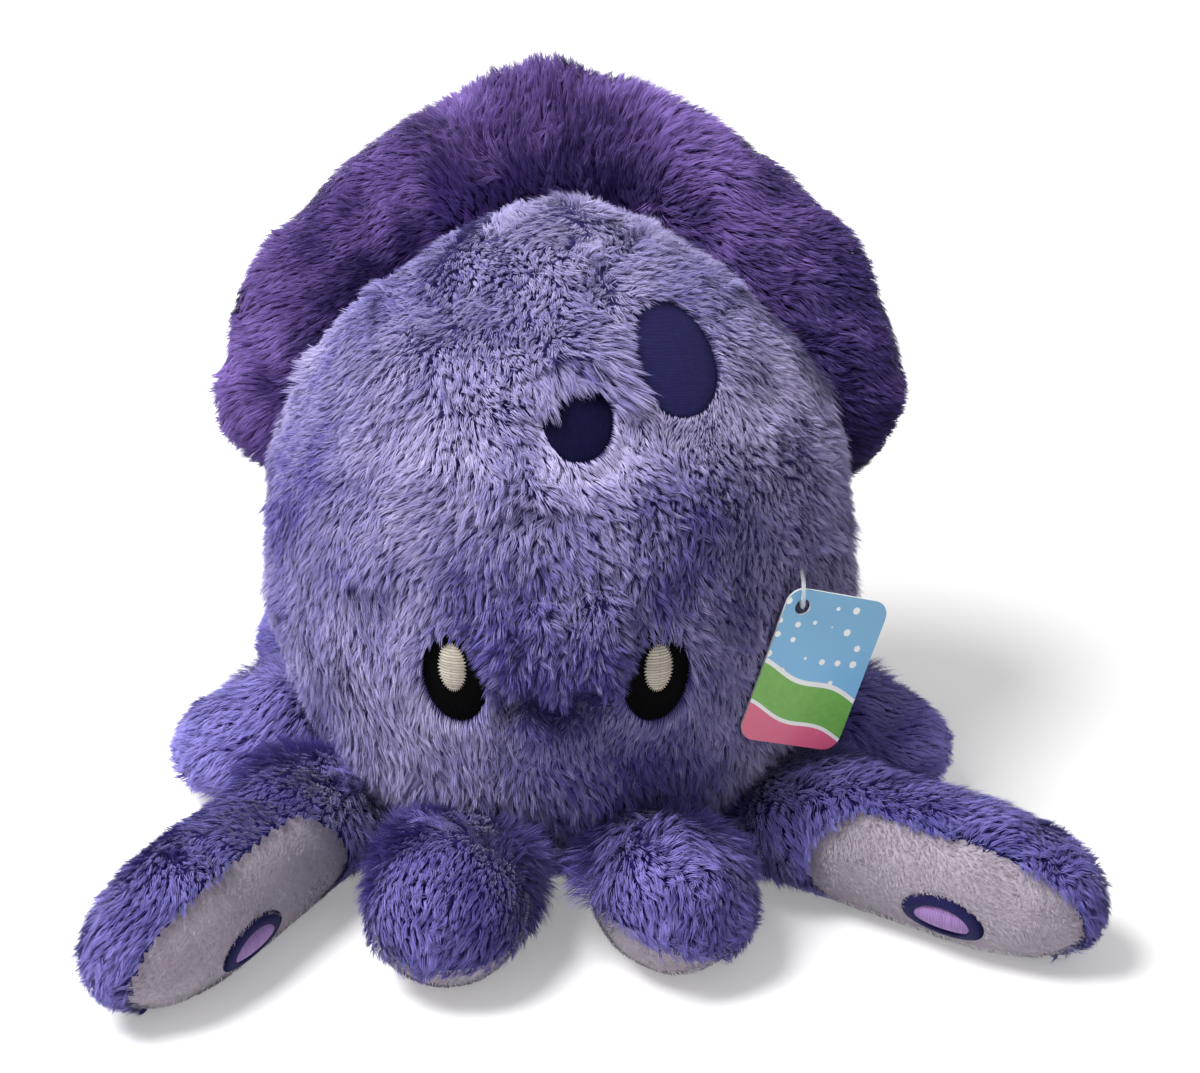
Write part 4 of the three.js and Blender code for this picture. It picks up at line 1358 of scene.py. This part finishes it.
class PLUSH_OT_tag(Operator):
    """Hangs the printed card on its plastic loop"""

    bl_idname = "plush.tag"
    bl_label = "Card tag"

    def execute(self, context):
        sizes = settings("plush_tag")
        hole = Vector(JOINTS["tag"]["pos_m"])
        place = card_place(sizes)
        piece = add_piece("hang_tag_card", self.card(sizes, place), self.print(sizes), self.stock())
        self.back(piece, place.to_3x3().to_4x4())
        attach(piece, "tag")
        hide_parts("hang_tag")
        loop = self.loop(sizes, hole)
        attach(loop, "body")
        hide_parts("tag_loop")
        return {"FINISHED"}

    @staticmethod
    def card(sizes, place):
        """The card with its hole, its corners and its thickness."""
        shape = bmesh.new()
        bmesh.ops.create_grid(shape, x_segments=1, y_segments=1, size=0.5)
        middle = Vector((sizes.width / 2 - sizes.inset, sizes.inset - sizes.height / 2, 0))
        bmesh.ops.scale(shape, vec=(sizes.width, sizes.height, 1), verts=shape.verts)
        bmesh.ops.translate(shape, vec=middle, verts=shape.verts)
        bmesh.ops.bevel(
            shape,
            geom=shape.verts[:],
            offset=sizes.corner,
            offset_type="OFFSET",
            affect="VERTICES",
            segments=8,
            profile=0.5,
            material=-1,
        )
        bmesh.ops.delete(shape, geom=shape.faces[:], context="FACES_ONLY")
        bmesh.ops.create_circle(shape, segments=28, radius=sizes.hole)
        bmesh.ops.triangle_fill(shape, use_beauty=True, edges=shape.edges[:], normal=(0, 0, 1))
        bmesh.ops.translate(shape, vec=(0, 0, -sizes.thickness / 2), verts=shape.verts)
        bottom = shape.faces[:]
        made = bmesh.ops.extrude_face_region(shape, geom=bottom, use_keep_orig=True)
        raised = [item for item in made["geom"] if isinstance(item, bmesh.types.BMVert)]
        bmesh.ops.translate(shape, vec=(0, 0, sizes.thickness), verts=raised)
        bmesh.ops.recalc_face_normals(shape, faces=shape.faces)
        layer = shape.loops.layers.uv.new(PRINT_MAP)
        for face in shape.faces:
            for loop in face.loops:
                loop[layer].uv = loop.vert.co.xy
        lay = place @ Matrix.Rotation(math.pi / 2, 4, "X")
        bmesh.ops.transform(shape, matrix=lay, verts=shape.verts)
        mesh = mesh_of(shape, "hang_tag_card")
        mesh.shade_flat()
        return mesh

    @staticmethod
    def back(piece, turn):
        """Leaves the card's edge and back unprinted."""
        front = (turn @ Vector((0, -1, 0, 0))).xyz
        for face in piece.data.polygons:
            face.material_index = 0 if face.normal.dot(front) > 0.7 else 1

    @staticmethod
    def print(sizes):
        """Broad slanting bands with dots, under a clear coat."""
        finish = Finish("printed card", roughness=0.35, coat_weight=0.4, coat_roughness=0.15)
        spot = finish.node("ShaderNodeUVMap", {"uv_map": PRINT_MAP})
        x, y = finish.part(spot, 0), finish.part(spot, 1)
        bend = finish.node("ShaderNodeMath", {"operation": "SINE"}, {0: x * (1.2 / (5 * MM))})
        slope = y + 0.22 * x + (1.1 * MM) * bend
        white = (0.92, 0.92, 0.9)
        sky = finish.mix((0 - y) / sizes.height, scaled(sizes.blue, 0.8), scaled(sizes.blue, 1.2))
        pitch = {"Vector": spot, "Scale": 1 / (5.5 * MM), "Randomness": 0.35}
        cells = finish.node("ShaderNodeTexVoronoi", {}, pitch)
        card = finish.mix(cells < 0.2, sky, white)
        grass = finish.mix(finish.noise(500.0), scaled(sizes.green, 0.8), scaled(sizes.green, 1.15))
        bands = ((-19, white), (-20.5, grass), (-32, white), (-33.2, sizes.pink))
        for start, tint in bands:
            card = finish.mix(slope < start * MM, card, tint)
        finish.colour(card)
        return finish.material

    @staticmethod
    def stock():
        """Bare white card."""
        finish = Finish("bare card", roughness=0.8)
        fibre = finish.noise(1500.0, 3.0)
        finish.colour(finish.mix(fibre, (0.74, 0.74, 0.72), (0.88, 0.88, 0.86)))
        finish.bump(fibre, 0.1 * MM, 0.3)
        return finish.material

    @staticmethod
    def loop(sizes, hole):
        """The plastic loop from the body's side through the hole and back."""
        body = cad_tree("face_panel")

        def skin(height):
            hit = body.ray_cast(Vector((hole.x, -1, height)), Vector((0, 1, 0)))[0]
            return Vector((hole.x, hit.y + 1.5 * MM, height))

        bends = 12
        path = [skin(hole.z + sizes.loop_rise)]
        for step in range(bends + 1):
            angle = math.pi * step / bends
            lift = sizes.loop_rise * (1 + math.cos(angle)) / 2
            path.append(hole + Vector((0, -sizes.loop_front * math.sin(angle), lift)))
        path.append(skin(hole.z))
        curve = bpy.data.curves.new("tag_loop_thread", "CURVE")
        curve.dimensions = "3D"
        curve.bevel_depth = sizes.loop_width / 2
        curve.bevel_resolution = 3
        curve.resolution_u = 3
        curve.use_fill_caps = True
        spline = curve.splines.new("NURBS")
        spline.points.add(len(path) - 1)
        for point, place in zip(spline.points, path):
            point.co = (*place, 1.0)
        spline.use_endpoint_u = True
        spline.order_u = 4
        wire = bpy.data.objects.new("tag_loop_wire", curve)
        bpy.context.scene.collection.objects.link(wire)
        seen = wire.evaluated_get(bpy.context.evaluated_depsgraph_get())
        mesh = bpy.data.meshes.new_from_object(seen)
        bpy.data.objects.remove(wire)
        mesh.shade_smooth()
        finish = Finish("clear plastic", roughness=0.18, transmission_weight=0.7, ior=1.46)
        wear = finish.noise(600.0)
        finish.colour(finish.mix(wear, (0.78, 0.82, 0.88), (0.92, 0.94, 0.97)))
        return add_piece("tag_loop_thread", mesh, finish.material)


class PLUSH_OT_stage(Operator):
    """Sets the pale floor, the soft light and the camera"""

    bl_idname = "plush.stage"
    bl_label = "Stage"

    def execute(self, context):
        sizes = settings("plush_stage")
        self.camera(sizes)
        self.floor()
        self.light(sizes)
        context.scene.view_settings.view_transform = "Standard"
        return {"FINISHED"}

    @staticmethod
    def camera(sizes):
        """The camera at the photograph's angle."""
        back = Vector((0, -math.cos(sizes.elevation), math.sin(sizes.elevation)))
        up = Vector((0, math.sin(sizes.elevation), math.cos(sizes.elevation)))
        aim = Vector(WAIST) + sizes.aim_right * Vector((1, 0, 0)) - sizes.aim_down * up
        data = bpy.data.cameras.new("camera")
        data.lens = sizes.lens
        data.sensor_width = 36
        data.clip_start = 0.01
        camera = bpy.data.objects.new("camera", data)
        bpy.context.scene.collection.objects.link(camera)
        camera.location = aim + sizes.distance * back
        camera.rotation_euler = (-back).to_track_quat("-Z", "Y").to_euler()
        bpy.context.scene.camera = camera

    @staticmethod
    def floor():
        """A wide pale floor that keeps the shadow and looks white, far off too."""
        shape = bmesh.new()
        bmesh.ops.create_circle(shape, segments=64, radius=6.0, cap_ends=True)
        finish = Finish("pale floor", roughness=0.9, specular_ior_level=0.1)
        finish.colour(finish.mix(finish.noise(3.0), (0.84, 0.84, 0.84), (0.86, 0.86, 0.86)))
        camera, glossy, through = (finish.node("ShaderNodeLightPath", output=ray) for ray in SEEING_RAYS)
        shadow_reach, fade, near_glow, far_glow = 0.25, 0.75, 0.28, 3.2
        far = finish.node("ShaderNodeVectorMath", {"operation": "LENGTH"}, {0: finish.place()}, "Value")
        glow = finish.mix((far - shadow_reach) / fade, (1, 1, 1), (far_glow, far_glow, far_glow))
        seen = finish.mix(camera + glossy + through, (0, 0, 0), glow)
        finish.feed(finish.shader.inputs["Emission Color"], seen)
        finish.shader.inputs["Emission Strength"].default_value = near_glow
        floor = add_piece("floor", mesh_of(shape, "floor"), finish.material)

    @staticmethod
    def light(sizes):
        """Even light all round, and a soft light from the upper left."""
        world = bpy.data.worlds.new("studio")
        bpy.context.scene.world = world
        world.use_nodes = True
        tree = world.node_tree
        background = tree.nodes["Background"]
        background.inputs["Color"].default_value = (1, 1, 1, 1)
        path = tree.nodes.new("ShaderNodeLightPath")
        first, *others = (path.outputs[ray] for ray in SEEING_RAYS)
        for ray in others:
            either = tree.nodes.new("ShaderNodeMath")
            either.operation = "MAXIMUM"
            tree.links.new(first, either.inputs[0])
            tree.links.new(ray, either.inputs[1])
            first = either.outputs[0]
        strength = tree.nodes.new("ShaderNodeMath")
        strength.operation = "MULTIPLY_ADD"
        strength.inputs[1].default_value = 1 - sizes.sky
        strength.inputs[2].default_value = sizes.sky
        tree.links.new(first, strength.inputs[0])
        tree.links.new(strength.outputs[0], background.inputs["Strength"])
        lamp = bpy.data.lights.new("key", "AREA")
        lamp.energy = sizes.key
        lamp.shape = "DISK"
        lamp.size = sizes.key_size
        key = bpy.data.objects.new("key", lamp)
        bpy.context.scene.collection.objects.link(key)
        key.location = sizes.key_place
        key.rotation_euler = (Vector(WAIST) - key.location).to_track_quat("-Z", "Y").to_euler()


class PLUSH_PT_panel(Panel):
    """The squid's steps and sizes"""

    bl_idname = "PLUSH_PT_panel"
    bl_label = "Plush squid"
    bl_space_type = "VIEW_3D"
    bl_region_type = "UI"
    bl_category = "Plush"

    def draw(self, context):
        for operator in OPERATORS:
            self.layout.operator(operator.bl_idname)
        for name, group in GROUPS.items():
            column = self.layout.column()
            column.label(text=group.__doc__)
            for key in group.__annotations__:
                column.prop(getattr(context.scene, name), key)


GROUPS = {
    "plush_skin": PlushSkin,
    "plush_pile": PlushPile,
    "plush_colours": PlushColours,
    "plush_thread": PlushThread,
    "plush_tag": PlushTag,
    "plush_stage": PlushStage,
}
OPERATORS = [
    PLUSH_OT_stage,
    PLUSH_OT_skins,
    PLUSH_OT_body_pile,
    PLUSH_OT_fin_pile,
    PLUSH_OT_arm_piles,
    PLUSH_OT_embroidery,
    PLUSH_OT_tag,
]


def register():
    """Registers the settings, the steps and the panel."""
    for name, group in GROUPS.items():
        bpy.utils.register_class(group)
        setattr(bpy.types.Scene, name, PointerProperty(type=group))
    for item in [*OPERATORS, PLUSH_PT_panel]:
        bpy.utils.register_class(item)


def unregister():
    """Takes the panel, the steps and the settings away again."""
    for item in [PLUSH_PT_panel, *reversed(OPERATORS)]:
        bpy.utils.unregister_class(item)
    for name, group in reversed(GROUPS.items()):
        delattr(bpy.types.Scene, name)
        bpy.utils.unregister_class(group)


def main():
    """Registers the steps, then makes every piece in order."""
    register()
    for operator in OPERATORS:
        area, name = operator.bl_idname.split(".")
        getattr(getattr(bpy.ops, area), name)()


if __name__ == "__main__":
    main()
